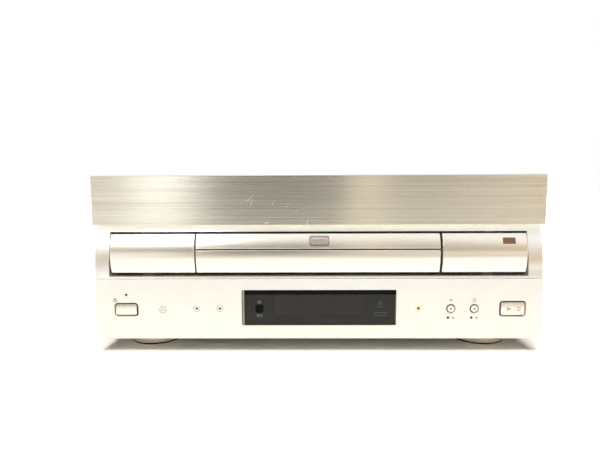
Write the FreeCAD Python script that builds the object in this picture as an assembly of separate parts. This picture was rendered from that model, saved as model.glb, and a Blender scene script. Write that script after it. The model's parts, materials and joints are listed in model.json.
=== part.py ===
import FreeCAD, Part
import math
import os

V = FreeCAD.Vector

# A full-size disc player with two nested trays, in millimetres.
# +X is to the right of somebody facing the front, -Y is the front, +Z is up.
# The origin is the middle of the bottom of the whole player.

# Overall size
WIDTH = 420.0            # front panels, side to side
HEIGHT = 168.0           # underside of the foot pads to the top of the front panel
DEPTH = 408.0            # button faces to the ends of the rear jacks
BUTTON_PROUD = 0.8       # how far the buttons stand out of the front
JACK_PROUD = 8.0         # how far the jack sleeves stand out of the rear panel

# Feet
FOOT_RADIUS = 25.5
FOOT_HEIGHT = 13.7
PAD_HEIGHT = 1.5
PAD_INSET = 0.8          # how much smaller the pad is than the foot
FOOT_GROOVE_Z = 4.2      # turned groove round the foot
FOOT_GROOVE_H = 0.7
FOOT_GROOVE_T = 0.6
FOOT_CHAMFER = 0.4
FOOT_INSET = 43.0        # foot centres inside the case's sides
FRONT_FOOT_SETBACK = 48.0
REAR_FOOT_SETBACK = 48.0
FOOT_SCREW_R = 1.9
FOOT_SCREW_L = 8.0       # length of the screw inside the foot
FOOT_HEAD_R = 3.5
FOOT_HEAD_H = 2.2
SCREW_FIT = 0.1          # screw to its hole

# Sheet metal
PAN_T = 1.2              # base chassis
COVER_T = 1.0            # top cover
REAR_T = 1.2             # rear panel
PAN_FLANGE = 12.0        # height of the folded edges of the base chassis
COVER_DROP = 0.6         # top cover below the top of the front panel
COVER_LIFT = 1.6         # top cover's sides end above the underside
COVER_CORNER = 2.0       # outer radius of the cover's folds
VENT_COUNT = 14
VENT_W = 2.6
VENT_PITCH = 7.0
VENT_L = 60.0
VENT_BACK = 6.0          # vents start this far behind the transformer's front
CASE_SCREW_R = 1.5
CASE_SCREW_L = 6.0
CASE_SCREW_Z = 20.5
SIDE_HEAD_R = 4.0
SIDE_SCREW_Y = (-110.0, 150.0)
REAR_HEAD_R = 3.2
REAR_HEAD_H = 1.8
REAR_SCREW_INSET = 20.0  # outer screws of the rear panel from the panel's ends
REAR_SCREW_MIDDLE = 60.0
SIDE_INSET = 1.0         # sides of the case inside the front panels
SHEET_GAP = 0.3          # between folded sheets and their neighbours
PAST = 1.0               # how far a cutter runs past what it cuts
ROOTING = 1.0            # how far a lug starts inside the body it belongs to

# Front panels and the moulding behind them
UPPER_PANEL_Z = 121.7    # bottom edge of the upper panel
UPPER_PANEL_T = 3.0
LOWER_PANEL_TOP = 71.0
LOWER_PANEL_T = 2.5
PANEL_SEAM = 0.5         # between the lower panel and the moulding
MOULD_T = 2.5            # wall of the front moulding
MOULD_DEPTH = 17.0       # front to back
MOULD_INSET = 0.6        # sides of the moulding inside the panels
COVE_SETBACK = 10.0      # how far the curved zone falls back at its top
EDGE_BREAK = 0.5         # small chamfer round the panels

# Door opening and door faces
CHEEK_W = 15.0           # curved cheeks beside the doors
DOOR_SIDE_GAP = 1.3
DOOR_BOTTOM = 76.7
DOOR_HEIGHT = 36.6
DOOR_TOP_GAP = 1.8
DOOR_BOTTOM_GAP = 3.2
DOOR_TOP_SETBACK = 5.0
DOOR_BOTTOM_SETBACK = 3.2
DOOR_CROWN = 16.4        # height of the foremost line above the door's bottom
DOOR_BACK = 14.0         # back of the door faces, behind the front plane
DOOR_WALL = 2.5
DOOR_EDGE = 0.5          # rounding of the faces' edges
FRONT_WALL_INSET = 4.0   # large tray's front wall inside its door faces
SMALL_WALL_INSET = 3.0   # small tray's front wall inside its door face
CENTRE_HALF = 114.4      # half width of the two middle faces
LEFT_SEAM = 1.2
RIGHT_SEAM = 2.2
SPLIT_Z = 98.2           # top of the lower middle face
SPLIT_GAP = 1.3

# Badge plate on the small tray's face
BADGE_W = 18.8
BADGE_H = 9.1
BADGE_T = 0.6
BADGE_X = 1.4
BADGE_Z = 107.0
BADGE_CORNER = 2.0

# Display window
WINDOW_X = 1.0
WINDOW_W = 145.3
WINDOW_Z = 26.8
WINDOW_H = 33.7
WINDOW_T = 2.2
WINDOW_CORNER = 1.2
WINDOW_GAP = 0.15
TUBE_W = 100.0
TUBE_H = 27.0
TUBE_T = 7.0

# Buttons
POWER_INSET = 29.0       # centre of the power button from the panel's end
POWER_Z = 42.0
POWER_W = 19.7
POWER_H = 9.8
PLAY_INSET = 27.4        # centre of the play button from the panel's end
PLAY_Z = 42.5
PLAY_W = 21.8
PLAY_H = 12.0
BUTTON_RING = 1.2        # open ring round a square button
BUTTON_CORNER = 1.5
BUTTON_CROWN = 0.6       # how far a square button's face bulges
BUTTON_EDGE = 0.3        # rounding of the face's edges
ROUND_R = 3.2
ROUND_RING = 0.8
EJECT_SPACING = 21.9     # between the two eject buttons
EJECT_GAP = 35.8         # from the second one to the play button
EJECT_Z = 42.7
BUTTON_FIT = 0.3         # button to its guide in the moulding
BUTTON_FLANGE = 1.2      # rim that keeps a button in
FLANGE_T = 1.7
BUTTON_TRAVEL = 1.2

# Indicator lights, each in a dimple
LED_R = 1.0
LED_DIMPLE_R = 2.7
LED_DIMPLE_DEPTH = 1.2
LED_BODY_R = 2.0
LED_Z = 42.7
LED_SPACING = 21.9
LED_WINDOW_GAP = 21.0    # from the window's ends to the nearest lights
STANDBY_Z = 56.1
STANDBY_RECESS = 0.2

# Boards behind the front
BOARD_T = 1.6
SWITCH_BOARD_SETBACK = 13.0
SWITCH_SIZE = 6.0
SWITCH_BODY = 3.5
PLUNGER_R = 1.7
SIDE_BOARD_LOW = 30.0
SIDE_BOARD_HIGH = 60.0
SIDE_BOARD_INSET = 10.0  # outer ends of the switch boards inside the panel's
SIDE_BOARD_GAP = 8.0     # inner ends, beside the window
BOARD_EDGE = 4.0         # post centres inside a board's edges
POST_R = 2.0
DISPLAY_BOARD_RIM = 6.0  # display board past the window's edges
SENSOR_X = -55.0
SENSOR_Z = 42.8
SENSOR_W = 7.7
SENSOR_H = 8.0
SENSOR_CORNER = 1.0

# Trays
DISC_R = 150.0           # the large disc
SMALL_DISC_R = 60.0
DISC_PLAY = 1.5          # recess radius over disc radius
SPINDLE_SETBACK = 178.0  # spindle behind the front plane
SEAT_Z = 107.5           # where the large disc lies
SEAT_DEPTH = 3.0
TRAY_T = 3.0
TRAY_HALF = 169.6
TRAY_RIM = 8.0           # rim left behind the recess
RAIL_T = 6.0
RAIL_BOTTOM = 84.0
RAIL_REAR_GAP = 10.0     # rail's rear end in front of the rear panel
CHANNEL_HALF = 71.0
CHANNEL_FLOOR = 98.4
CHANNEL_T = 2.4
CHANNEL_WALL = 2.5
SLOT_HALF = 34.0         # slot for the turntable and pickup
LARGE_TRAVEL = 325.0
SMALL_FIT = 0.3          # small tray above and beside its channel
SMALL_RIM_DROP = 1.3     # small tray's top below the large disc's seat
SMALL_SEAT_DEPTH = 2.0
MINI_DISC_R = 40.0
MINI_SEAT_DEPTH = 1.0
SMALL_T = 2.0
SMALL_RIM = 6.0
SMALL_SLOT_HALF = 24.0
SMALL_RAIL_T = 12.0
SMALL_TAIL = 60.0        # rails that run on behind the small tray
SMALL_TRAVEL = 240.0

# Drive of the large tray
GEAR_MODULE = 1.5
GEAR_TEETH = 24
RACK_BACKLASH = 0.3
RACK_Z = 85.0
RACK_H = 6.0
TOOTH_TOP = 0.9          # tooth height over the pitch line, in modules
TOOTH_ROOT = 1.25
PRESSURE_ANGLE = 20.0
RACK_ROOTING = 0.5       # teeth sunk into the rail they belong to
RACK_END = 10.0          # rack's ends inside the tray's
GEAR_SETBACK = 50.0
PULLEY_R = 16.0
MOTOR_PULLEY_R = 5.0
MOTOR_PULLEY_X = -95.0
BELT_T = 1.2
BELT_H = 3.0
PULLEY_Z = 67.0
PULLEY_H = 5.0
GEAR_HUB_R = 6.0
STUD_R = 2.5
STUD_END = 1.5           # stud past the top of its gear
LOADING_MOTOR_R = 12.0
LOADING_MOTOR_H = 28.0
MOTOR_BOSS_R = 3.0
MOTOR_SHAFT_R = 1.0
SHAFT_ENGAGED = 8.0      # how far a motor's shaft reaches into its can
RUN_FIT = 0.05           # shaft in a bore

# Mechanism
CHASSIS_Z = 64.0
CHASSIS_T = 1.6
CHASSIS_RIM = 7.0        # chassis outside the tray guides
CHASSIS_TAIL = 7.2       # chassis behind the end of the pickup's travel
LEG_SETBACK = 22.0       # rear legs before the chassis's rear edge
LEG_SIZE = 8.0
GUIDE_T = 3.0
GUIDE_FIT = 0.4
GUIDE_LIP = 10.0
GUIDE_SETBACK = 26.0
BASE_Z = 58.0            # underside of the pickup base
BASE_T = 2.5
BASE_HALF = 50.0
BASE_FRONT = 44.0        # pickup base's front edge before the spindle
BASE_REAR = 6.0          # and its rear edge behind the shafts' end blocks
BASE_SLOT_HALF = 16.0
WELL_GAP = 2.0           # chassis round the pickup base
EAR_HALF = 7.0
DAMPER_R = 5.0
DAMPER_OUT = 8.0         # dampers outside the pickup base
DAMPER_FRONT = 36.0
DAMPER_REAR = 16.0
BLOCK_HALF = 5.0         # bearing blocks of the pickup base
BLOCK_T = 4.0
BLOCK_OVER = 2.0         # block above the shafts
MOTOR_R = 20.0
MOTOR_H = 18.0
SPINDLE_R = 2.0
TABLE_Z = 86.0
TABLE_R = 30.0
TABLE_T = 2.5
TABLE_BOSS_R = 6.0
TABLE_BOSS_H = 4.0
COLLAR_R = 17.0          # platform for the small disc, inside the large disc's hole
COLLAR_H = 3.0
CONE_R = 7.4             # centring cone for the small disc's hole
CONE_TIP_R = 5.5
CONE_H = 3.5
PICKUP_Z = 72.0          # height of the pickup's shafts
SHAFT_X = 26.0
SHAFT_R = 2.0
CARRIAGE_W = 64.0
CARRIAGE_L = 44.0
CARRIAGE_BOTTOM = 66.0
CARRIAGE_TOP = 82.0
CARRIAGE_GAP = 1.0       # carriage clear of the blocks at each end of its travel
PICKUP_TRAVEL = 100.0
SCREW_X = 40.0
SCREW_R = 2.5
SLED_MOTOR_R = 7.0
SLED_MOTOR_L = 24.0
NUT_L = 12.0
DECK_R = 9.0
DECK_H = 2.0
LENS_R = 3.5
LENS_T = 1.4
LENS_RING = 1.2

# Clamp over the disc
BRIDGE_Z = 130.0
BRIDGE_T = 1.6
BRIDGE_FIT = 4.0         # bridge outside the tray guides
BRIDGE_L = 60.0
CLAMPER_R = 17.0
CLAMPER_Z = 113.8
HINGE_BACK = 62.0        # clamp hinge behind the spindle
HINGE_Z = 121.0
HINGE_R = 1.5
ARM_T = 2.0
ARM_HALF = 20.0
EAR_R = 4.0              # round end of the arm's ears
LUG_T = 3.0
LUG_HALF = 5.0
LUG_GAP = 3.0            # bridge's lugs outside the arm
BRIDGE_WINDOW = 3.0      # hole in the bridge round the clamper
CLAMPER_RIM = 3.0
CLAMPER_NECK = 4.0
CLAMPER_CAP_R = 8.0
CLAMPER_CAP_T = 1.5

# Electrics
BOARD_Z = 22.0
JACK_R = 4.15
JACK_COLLAR_R = 4.9
JACK_PITCH = 16.0
JACK_Z = 38.0
INLET_INSET = 50.0       # centre of the mains inlet from the case's side
INLET_Z = 42.0
INLET_W = 19.0
INLET_H = 9.5
INLET_DEEP = 12.0
INLET_WALL = 0.6
INLET_FLANGE = 3.0
PIN_R = 1.2
PIN_PITCH = 8.6
JACK_COLUMNS = 3
JACK_ROWS = 2
JACK_BODY = 14.0
JACK_HOLE_R = 1.6
JACK_HOLE_DEEP = 4.0
SIGNAL_R = 5.3           # round picture sockets beside the phono jacks
SIGNAL_HALF = 7.0
SIGNAL_GAP = 24.0
SIGNAL_CLEAR = 2.0       # sockets beside the pickup base, seen from above
SIGNAL_WALL = 0.9
SIGNAL_GROOVE = 2.0
OPTICAL_HALF = 4.7
SUPPLY_W = 64.0
SUPPLY_SIDE = 8.0        # power board beside the chassis's left legs
MAIN_SIDE = 12.0         # main board beside its right legs
BOARD_BETWEEN = 10.0     # between the two boards
BOARD_FRONT = 36.2       # boards behind the front moulding
BOARD_REAR = 2.8         # main board before the rear panel
STANDOFF_R = 3.0
STANDOFF_IN = 6.0        # standoffs inside the corners of a board
CHIP_T = 2.8
# From the left front corner of each board: x, y and side of a chip; x, y, radius and height of a capacitor
CHIPS = ((50.0, 60.0, 28.0), (120.0, 80.0, 24.0), (180.0, 130.0, 28.0), (110.0, 190.0, 20.0),
         (190.0, 220.0, 24.0))
CAPACITORS = ((14.0, 130.0, 9.0, 30.0), (36.0, 130.0, 9.0, 30.0), (14.0, 160.0, 6.0, 22.0),
              (32.0, 158.0, 6.0, 22.0))
SINK_IN_X = 6.0
SINK_IN_Y = 60.0
SINK_T = 4.0
SINK_H = 34.0
FIN_COUNT = 6
FIN_PITCH = 8.0
FIN_T = 1.6
FIN_L = 20.0
CORE_SIDE = 4.0          # transformer's core inside the power board's outer edge
CORE_AHEAD = 58.0        # transformer's core before the rear foot's screw
CORE_W = 60.0
CORE_L = 34.0
CORE_H = 44.0
CORE_PLATE_T = 2.0
CORE_PLATE_OUT = 8.0
WINDING_W = 34.0
WINDING_H = 30.0
WINDING_CORNER = 6.0

# Places worked out from those sizes
FRONT = -DEPTH / 2 + BUTTON_PROUD
REAR = DEPTH / 2 - JACK_PROUD
HALF = WIDTH / 2
FOOT_X = HALF - FOOT_INSET
DOOR_HALF = HALF - CHEEK_W
POWER_X = POWER_INSET - HALF
PLAY_X = HALF - PLAY_INSET
LARGE_EJECT_X = PLAY_X - EJECT_GAP
SMALL_EJECT_X = LARGE_EJECT_X - EJECT_SPACING
SIDE_BOARD_END = HALF - SIDE_BOARD_INSET
INLET_X = INLET_INSET - HALF
CASE_HALF = HALF - SIDE_INSET
MOULD_HALF = HALF - MOULD_INSET
MOULD_BACK = FRONT + MOULD_DEPTH
COVE_BOTTOM = LOWER_PANEL_TOP + PANEL_SEAM
DOOR_TOP = DOOR_BOTTOM + DOOR_HEIGHT
OPENING_HALF = DOOR_HALF + DOOR_SIDE_GAP
OPENING_TOP = DOOR_TOP + DOOR_TOP_GAP
OPENING_BOTTOM = DOOR_BOTTOM - DOOR_BOTTOM_GAP
COVER_TOP = HEIGHT - COVER_DROP
FLOOR_Z = FOOT_HEIGHT + PAN_T
SPINDLE_Y = FRONT + SPINDLE_SETBACK
FRONT_FOOT_Y = FRONT + FRONT_FOOT_SETBACK
REAR_FOOT_Y = REAR - REAR_FOOT_SETBACK
GEAR_R = GEAR_MODULE * GEAR_TEETH / 2
GEAR_Y = FRONT + GEAR_SETBACK
RAIL_INNER = TRAY_HALF - RAIL_T
RACK_PITCH_X = -RAIL_INNER + TOOTH_ROOT * GEAR_MODULE
GEAR_X = RACK_PITCH_X + GEAR_R
TRAY_FRONT = FRONT + DOOR_BACK
TRAY_REAR = SPINDLE_Y + DISC_R + DISC_PLAY + TRAY_RIM
RAIL_REAR = REAR - RAIL_REAR_GAP
SMALL_HALF = CHANNEL_HALF - SMALL_FIT
SMALL_BOTTOM = CHANNEL_FLOOR + SMALL_FIT
SMALL_TOP = SEAT_Z - SMALL_RIM_DROP
SMALL_SEAT_Z = SMALL_TOP - SMALL_SEAT_DEPTH
SMALL_REAR = SPINDLE_Y + SMALL_DISC_R + DISC_PLAY + SMALL_RIM
CHASSIS_TOP = CHASSIS_Z + CHASSIS_T
LOWER_BACK = FRONT + LOWER_PANEL_T + MOULD_T
BUTTON_BACK = LOWER_BACK + SHEET_GAP + FLANGE_T
WINDOW_LEFT = WINDOW_X - WINDOW_W / 2
WINDOW_RIGHT = WINDOW_X + WINDOW_W / 2
LED_LEFT = WINDOW_LEFT - LED_WINDOW_GAP
LED_RIGHT = WINDOW_RIGHT + LED_WINDOW_GAP
PLUNGER_FRONT = BUTTON_BACK + BUTTON_TRAVEL + SHEET_GAP
SWITCH_BOARD_Y = FRONT + SWITCH_BOARD_SETBACK
BASE_TOP = BASE_Z + BASE_T
SHAFT_START = SPINDLE_Y + MOTOR_R
CARRIAGE_START = SHAFT_START + BLOCK_T + CARRIAGE_GAP
SLED_END = CARRIAGE_START + CARRIAGE_L + PICKUP_TRAVEL + CARRIAGE_GAP
SHAFT_LENGTH = SLED_END + BLOCK_T - SHAFT_START
GUIDE_OUTER = TRAY_HALF + GUIDE_FIT + GUIDE_T
CHASSIS_HALF = GUIDE_OUTER + CHASSIS_RIM
CHASSIS_REAR = SLED_END + CHASSIS_TAIL
BRIDGE_HALF = GUIDE_OUTER + BRIDGE_FIT
HINGE_Y = SPINDLE_Y + HINGE_BACK
SIGNAL_X = BASE_HALF + DAMPER_OUT + EAR_HALF + SIGNAL_CLEAR + SIGNAL_HALF
JACK_X = SIGNAL_X + SIGNAL_GAP
OPTICAL_X = JACK_X + JACK_COLUMNS * JACK_PITCH
LUG_OUTER = ARM_HALF + LUG_GAP + LUG_T
ARM_Z = CLAMPER_Z + CLAMPER_RIM + SHEET_GAP
INSIDE_HALF = CASE_HALF - COVER_T - SHEET_GAP
INSIDE_REAR = REAR - REAR_T
CORE_X = LEG_SIZE + SUPPLY_SIDE + CORE_SIDE - CHASSIS_HALF
CORE_Y = REAR_FOOT_Y - CORE_AHEAD
VENT_X = CORE_X - CORE_PLATE_OUT
VENT_Y = CORE_Y + VENT_BACK
SUPPLY_X = (CORE_X - CORE_SIDE, CORE_X - CORE_SIDE + SUPPLY_W)
SUPPLY_Y = (MOULD_BACK + BOARD_FRONT, CORE_Y - STANDOFF_IN)
MAIN_X = (SUPPLY_X[1] + BOARD_BETWEEN, CHASSIS_HALF - LEG_SIZE - MAIN_SIDE)
MAIN_Y = (MOULD_BACK + BOARD_FRONT, INSIDE_REAR - BOARD_REAR)

X_AXIS = V(1, 0, 0)
Y_AXIS = V(0, 1, 0)
Z_AXIS = V(0, 0, 1)


# ---------------------------------------------------------------- helpers

def box(x0, x1, y0, y1, z0, z1):
    return Part.makeBox(x1 - x0, y1 - y0, z1 - z0, V(x0, y0, z0))


def rod(start, radius, length, axis=Z_AXIS):
    return Part.makeCylinder(radius, length, start, axis)


def tube(start, outer, inner, length, axis=Z_AXIS):
    return rod(start, outer, length, axis).cut(rod(start, inner, length, axis))


def join(shapes):
    whole = shapes[0].fuse(list(shapes[1:]))
    return whole.removeSplitter()


def take(shape, cutters):
    return shape.cut(list(cutters))


def group(shapes):
    return Part.makeCompound(list(shapes))


def mirror_x(shape):
    return shape.mirror(V(0, 0, 0), X_AXIS)


def rounded_block(x, z, width, height, corner, y0, y1):
    block = box(x - width / 2, x + width / 2, y0, y1, z - height / 2, z + height / 2)
    if corner <= 0:
        return block
    edges = [e for e in block.Edges if abs(e.tangentAt(e.FirstParameter).y) > 0.99]
    return block.makeFillet(corner, edges)


def break_edges(shape, size, y):
    """Chamfer the edges of a panel that lie in the plane at y."""
    edges = [e for e in shape.Edges if all(abs(v.Y - y) < 1e-6 for v in e.Vertexes)]
    return shape.makeChamfer(size, edges)


def prism_x(points_or_edges, x0, x1):
    wire = Part.Wire(points_or_edges)
    return Part.Face(wire).extrude(V(x1 - x0, 0, 0))


def line(a, b):
    return Part.LineSegment(a, b).toShape()


def arc(a, b, c):
    return Part.Arc(a, b, c).toShape()


nodes = {}


def node(name, shape):
    nodes[name] = shape


# ---------------------------------------------------------------- front

def cove_solid(x0, x1, shift_y=0.0, shift_z=0.0):
    """Everything behind the curved zone of the front, down to the moulding's back."""
    rise = UPPER_PANEL_Z - COVE_BOTTOM
    radius = (COVE_SETBACK ** 2 + rise ** 2) / (2 * COVE_SETBACK)
    half_turn = math.asin(rise / radius) / 2
    y0 = FRONT + shift_y
    z0 = COVE_BOTTOM + shift_z
    low = V(x0, y0, z0)
    middle = V(x0, y0 + radius * (1 - math.cos(half_turn)), z0 + radius * math.sin(half_turn))
    high = V(x0, y0 + COVE_SETBACK, z0 + rise)
    back_high = V(x0, MOULD_BACK, high.z)
    back_low = V(x0, MOULD_BACK, low.z)
    edges = [arc(low, middle, high), line(high, back_high), line(back_high, back_low), line(back_low, low)]
    return prism_x(edges, x0, x1)


def square_buttons():
    return ((POWER_X, POWER_Z, POWER_W, POWER_H), (PLAY_X, PLAY_Z, PLAY_W, PLAY_H))


def round_buttons():
    return ((SMALL_EJECT_X, EJECT_Z), (LARGE_EJECT_X, EJECT_Z))


def led_places():
    return [(x, LED_Z) for x in (LED_LEFT - LED_SPACING, LED_LEFT, LED_RIGHT)]


def fascia_moulding():
    inner = MOULD_HALF - MOULD_T
    skin = cove_solid(-MOULD_HALF, MOULD_HALF).cut(cove_solid(-inner, inner, MOULD_T, -MOULD_T))
    upper_y = FRONT + UPPER_PANEL_T
    lower_y = FRONT + LOWER_PANEL_T
    top = COVER_TOP
    bottom = FOOT_HEIGHT + SHEET_GAP
    upper_back = box(-MOULD_HALF, MOULD_HALF, upper_y, upper_y + MOULD_T, UPPER_PANEL_Z, top)
    lower_back = box(-MOULD_HALF, MOULD_HALF, lower_y, lower_y + MOULD_T, bottom, COVE_BOTTOM)
    shelf = box(-MOULD_HALF, MOULD_HALF, upper_y, MOULD_BACK, UPPER_PANEL_Z, UPPER_PANEL_Z + MOULD_T)
    walls = [
        box(-MOULD_HALF, MOULD_HALF, upper_y, MOULD_BACK, top - MOULD_T, top),
        box(-MOULD_HALF, MOULD_HALF, lower_y, MOULD_BACK, bottom, bottom + MOULD_T),
    ]
    for side in (-1, 1):
        low, high = sorted((side * MOULD_HALF, side * inner))
        walls.append(box(low, high, upper_y, MOULD_BACK, UPPER_PANEL_Z, top))
        walls.append(box(low, high, lower_y, MOULD_BACK, bottom, COVE_BOTTOM))
    wide = OPENING_HALF + MOULD_T
    collar = box(-wide, wide, FRONT, MOULD_BACK, OPENING_BOTTOM - MOULD_T / 2, OPENING_TOP + MOULD_T)
    collar = collar.common(cove_solid(-MOULD_HALF, MOULD_HALF))
    shell = join([skin, upper_back, lower_back, shelf, collar] + walls)
    cuts = [box(-OPENING_HALF, OPENING_HALF, FRONT - PAST, MOULD_BACK + PAST, OPENING_BOTTOM, OPENING_TOP)]
    cuts.append(window_block(WINDOW_GAP, lower_y - PAST, lower_y + MOULD_T + PAST))
    for x, z, width, height in square_buttons():
        cuts.append(rounded_block(x, z, width + 2 * BUTTON_FIT, height + 2 * BUTTON_FIT,
                                  BUTTON_CORNER, lower_y - PAST, lower_y + MOULD_T + PAST))
    for x, z in round_buttons():
        cuts.append(rod(V(x, lower_y - PAST, z), ROUND_R + BUTTON_FIT, MOULD_T + 2 * PAST, Y_AXIS))
    for x, z in led_places() + [(POWER_X, STANDBY_Z)]:
        cuts.append(rod(V(x, lower_y - PAST, z), LED_R + WINDOW_GAP, MOULD_T + 2 * PAST, Y_AXIS))
    return take(shell, cuts)


def upper_front_panel():
    plate = box(-HALF, HALF, FRONT, FRONT + UPPER_PANEL_T, UPPER_PANEL_Z, HEIGHT)
    return break_edges(plate, EDGE_BREAK, FRONT)


def window_block(margin, y0, y1):
    z = WINDOW_Z + WINDOW_H / 2
    return rounded_block(WINDOW_X, z, WINDOW_W + 2 * margin, WINDOW_H + 2 * margin, WINDOW_CORNER, y0, y1)


def lower_front_panel():
    back = FRONT + LOWER_PANEL_T
    plate = box(-HALF, HALF, FRONT, back, FOOT_HEIGHT, LOWER_PANEL_TOP)
    plate = break_edges(plate, EDGE_BREAK, FRONT)
    cuts = [window_block(WINDOW_GAP, FRONT - PAST, back + PAST)]
    for x, z, width, height in square_buttons():
        ring = 2 * BUTTON_RING
        cuts.append(rounded_block(x, z, width + ring, height + ring, BUTTON_CORNER + BUTTON_RING,
                                  FRONT - PAST, back + PAST))
    for x, z in round_buttons():
        cuts.append(rod(V(x, FRONT - PAST, z), ROUND_R + ROUND_RING, LOWER_PANEL_T + 2 * PAST, Y_AXIS))
    for x, z in led_places():
        cuts.append(rod(V(x, FRONT - PAST, z), LED_R + WINDOW_GAP, LOWER_PANEL_T + 2 * PAST, Y_AXIS))
        cuts.append(Part.makeCone(LED_DIMPLE_R, LED_R + WINDOW_GAP, LED_DIMPLE_DEPTH, V(x, FRONT, z), Y_AXIS))
    standby = V(POWER_X, FRONT - PAST, STANDBY_Z)
    cuts.append(rod(standby, LED_R + WINDOW_GAP, LOWER_PANEL_T + 2 * PAST, Y_AXIS))
    return take(plate, cuts)


def display_window():
    return window_block(0, FRONT, FRONT + WINDOW_T)


def square_button(x, z, width, height):
    flange_y = BUTTON_BACK - FLANGE_T
    front = FRONT - BUTTON_PROUD
    cap = rounded_block(x, z, width, height, BUTTON_CORNER, front, BUTTON_BACK)
    radius = (height ** 2 / 4 + BUTTON_CROWN ** 2) / (2 * BUTTON_CROWN)
    crown = rod(V(x - width, front + radius, z), radius, 2 * width, X_AXIS)
    cap = cap.common(crown)
    face = [f for f in cap.Faces if abs(f.BoundBox.YMin - front) < 1e-3 and f.BoundBox.ZLength > height / 2]
    cap = cap.makeFillet(BUTTON_EDGE, face[0].Edges)
    rim = 2 * BUTTON_FIT + 2 * BUTTON_FLANGE
    flange = rounded_block(x, z, width + rim, height + rim, BUTTON_CORNER, flange_y, BUTTON_BACK)
    return join([cap, flange])


def round_button(x, z):
    flange_y = BUTTON_BACK - FLANGE_T
    cap = rod(V(x, FRONT - BUTTON_PROUD, z), ROUND_R, BUTTON_BACK - FRONT + BUTTON_PROUD, Y_AXIS)
    face = [e for e in cap.Edges if all(abs(v.Y - FRONT + BUTTON_PROUD) < 1e-6 for v in e.Vertexes)]
    cap = cap.makeFillet(EDGE_BREAK, face)
    flange = rod(V(x, flange_y, z), ROUND_R + BUTTON_FIT + BUTTON_FLANGE, FLANGE_T, Y_AXIS)
    return join([cap, flange])


def indicator_light(x, z, recess):
    """A light on its own legs: the lens in the panel, the body behind the moulding."""
    start = FRONT + recess
    shoulder = LOWER_BACK
    lens = rod(V(x, start, z), LED_R, shoulder - start, Y_AXIS)
    body = rod(V(x, shoulder, z), LED_BODY_R, SWITCH_BOARD_Y - shoulder, Y_AXIS)
    return join([lens, body])


def indicator_lights():
    lights = [indicator_light(x, z, LED_DIMPLE_DEPTH) for x, z in led_places()]
    lights.append(indicator_light(POWER_X, STANDBY_Z, STANDBY_RECESS))
    return group(lights)


def tact_switch(x, z):
    half = SWITCH_SIZE / 2
    body = box(x - half, x + half, SWITCH_BOARD_Y - SWITCH_BODY, SWITCH_BOARD_Y, z - half, z + half)
    stem = rod(V(x, PLUNGER_FRONT, z), PLUNGER_R, SWITCH_BOARD_Y - PLUNGER_FRONT, Y_AXIS)
    return join([body, stem])


def tact_switches():
    places = [(x, z) for x, z, _, _ in square_buttons()] + list(round_buttons())
    return group([tact_switch(x, z) for x, z in places])


def side_board(x0, x1):
    """A switch board with a spacer post at each end, seated on the moulding."""
    board = box(x0, x1, SWITCH_BOARD_Y, SWITCH_BOARD_Y + BOARD_T, SIDE_BOARD_LOW, SIDE_BOARD_HIGH)
    post_front = LOWER_BACK
    posts = []
    for x in (x0 + BOARD_EDGE, x1 - BOARD_EDGE):
        foot_point = V(x, post_front, SIDE_BOARD_LOW + BOARD_EDGE)
        posts.append(rod(foot_point, POST_R, SWITCH_BOARD_Y - post_front, Y_AXIS))
    return join([board] + posts)


def display_tube():
    z = WINDOW_Z + WINDOW_H / 2
    front = LOWER_BACK + SHEET_GAP
    return rounded_block(WINDOW_X, z, TUBE_W, TUBE_H, SENSOR_CORNER, front, front + TUBE_T)


def display_board():
    z = WINDOW_Z + WINDOW_H / 2
    front = LOWER_BACK + SHEET_GAP + TUBE_T
    half_w = WINDOW_W / 2 + DISPLAY_BOARD_RIM
    half_h = WINDOW_H / 2 + DISPLAY_BOARD_RIM
    board = box(WINDOW_X - half_w, WINDOW_X + half_w, front, front + BOARD_T, z - half_h, z + half_h)
    posts = []
    for sx in (-1, 1):
        x = WINDOW_X + sx * (half_w - DISPLAY_BOARD_RIM / 2)
        posts.append(rod(V(x, LOWER_BACK, z), POST_R, front - LOWER_BACK, Y_AXIS))
    return join([board] + posts)


def remote_sensor():
    """Infrared receiver behind the left part of the window."""
    front = FRONT + WINDOW_T + SHEET_GAP
    board = LOWER_BACK + SHEET_GAP + TUBE_T
    return rounded_block(SENSOR_X, SENSOR_Z, SENSOR_W, SENSOR_H, SENSOR_CORNER, front, board)


# ---------------------------------------------------------------- doors

def door_solid(x0, x1, shift=0.0):
    """The barrel-faced block that the doors are cut from."""
    low = V(x0, FRONT + DOOR_BOTTOM_SETBACK + shift, DOOR_BOTTOM)
    crown = V(x0, FRONT + shift, DOOR_BOTTOM + DOOR_CROWN)
    high = V(x0, FRONT + DOOR_TOP_SETBACK + shift, DOOR_TOP)
    back_high = V(x0, TRAY_FRONT, DOOR_TOP)
    back_low = V(x0, TRAY_FRONT, DOOR_BOTTOM)
    edges = [arc(low, crown, high), line(high, back_high), line(back_high, back_low), line(back_low, low)]
    return prism_x(edges, x0, x1)


def door_face(x0, x1, z0, z1):
    """One door face: a shell open at its back."""
    outer = door_solid(x0, x1).common(box(x0, x1, FRONT - PAST, TRAY_FRONT, z0, z1))
    faces = [f for f in outer.Faces if isinstance(f.Surface, Part.Cylinder)]
    outer = outer.makeFillet(DOOR_EDGE, faces[0].Edges)
    pocket = door_solid(x0 + DOOR_WALL, x1 - DOOR_WALL, DOOR_WALL)
    slab = box(x0, x1, FRONT - PAST, TRAY_FRONT, z0 + DOOR_WALL, z1 - DOOR_WALL)
    return outer.cut(pocket.common(slab))


def badge():
    """Plain plate, bedded in the curved face of the small tray's door."""
    block = rounded_block(BADGE_X, BADGE_Z, BADGE_W, BADGE_H, BADGE_CORNER, FRONT - BADGE_T,
                          FRONT + DOOR_TOP_SETBACK)
    skin = door_solid(-CENTRE_HALF, CENTRE_HALF, -BADGE_T).cut(door_solid(-CENTRE_HALF, CENTRE_HALF))
    return block.common(skin)


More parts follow.
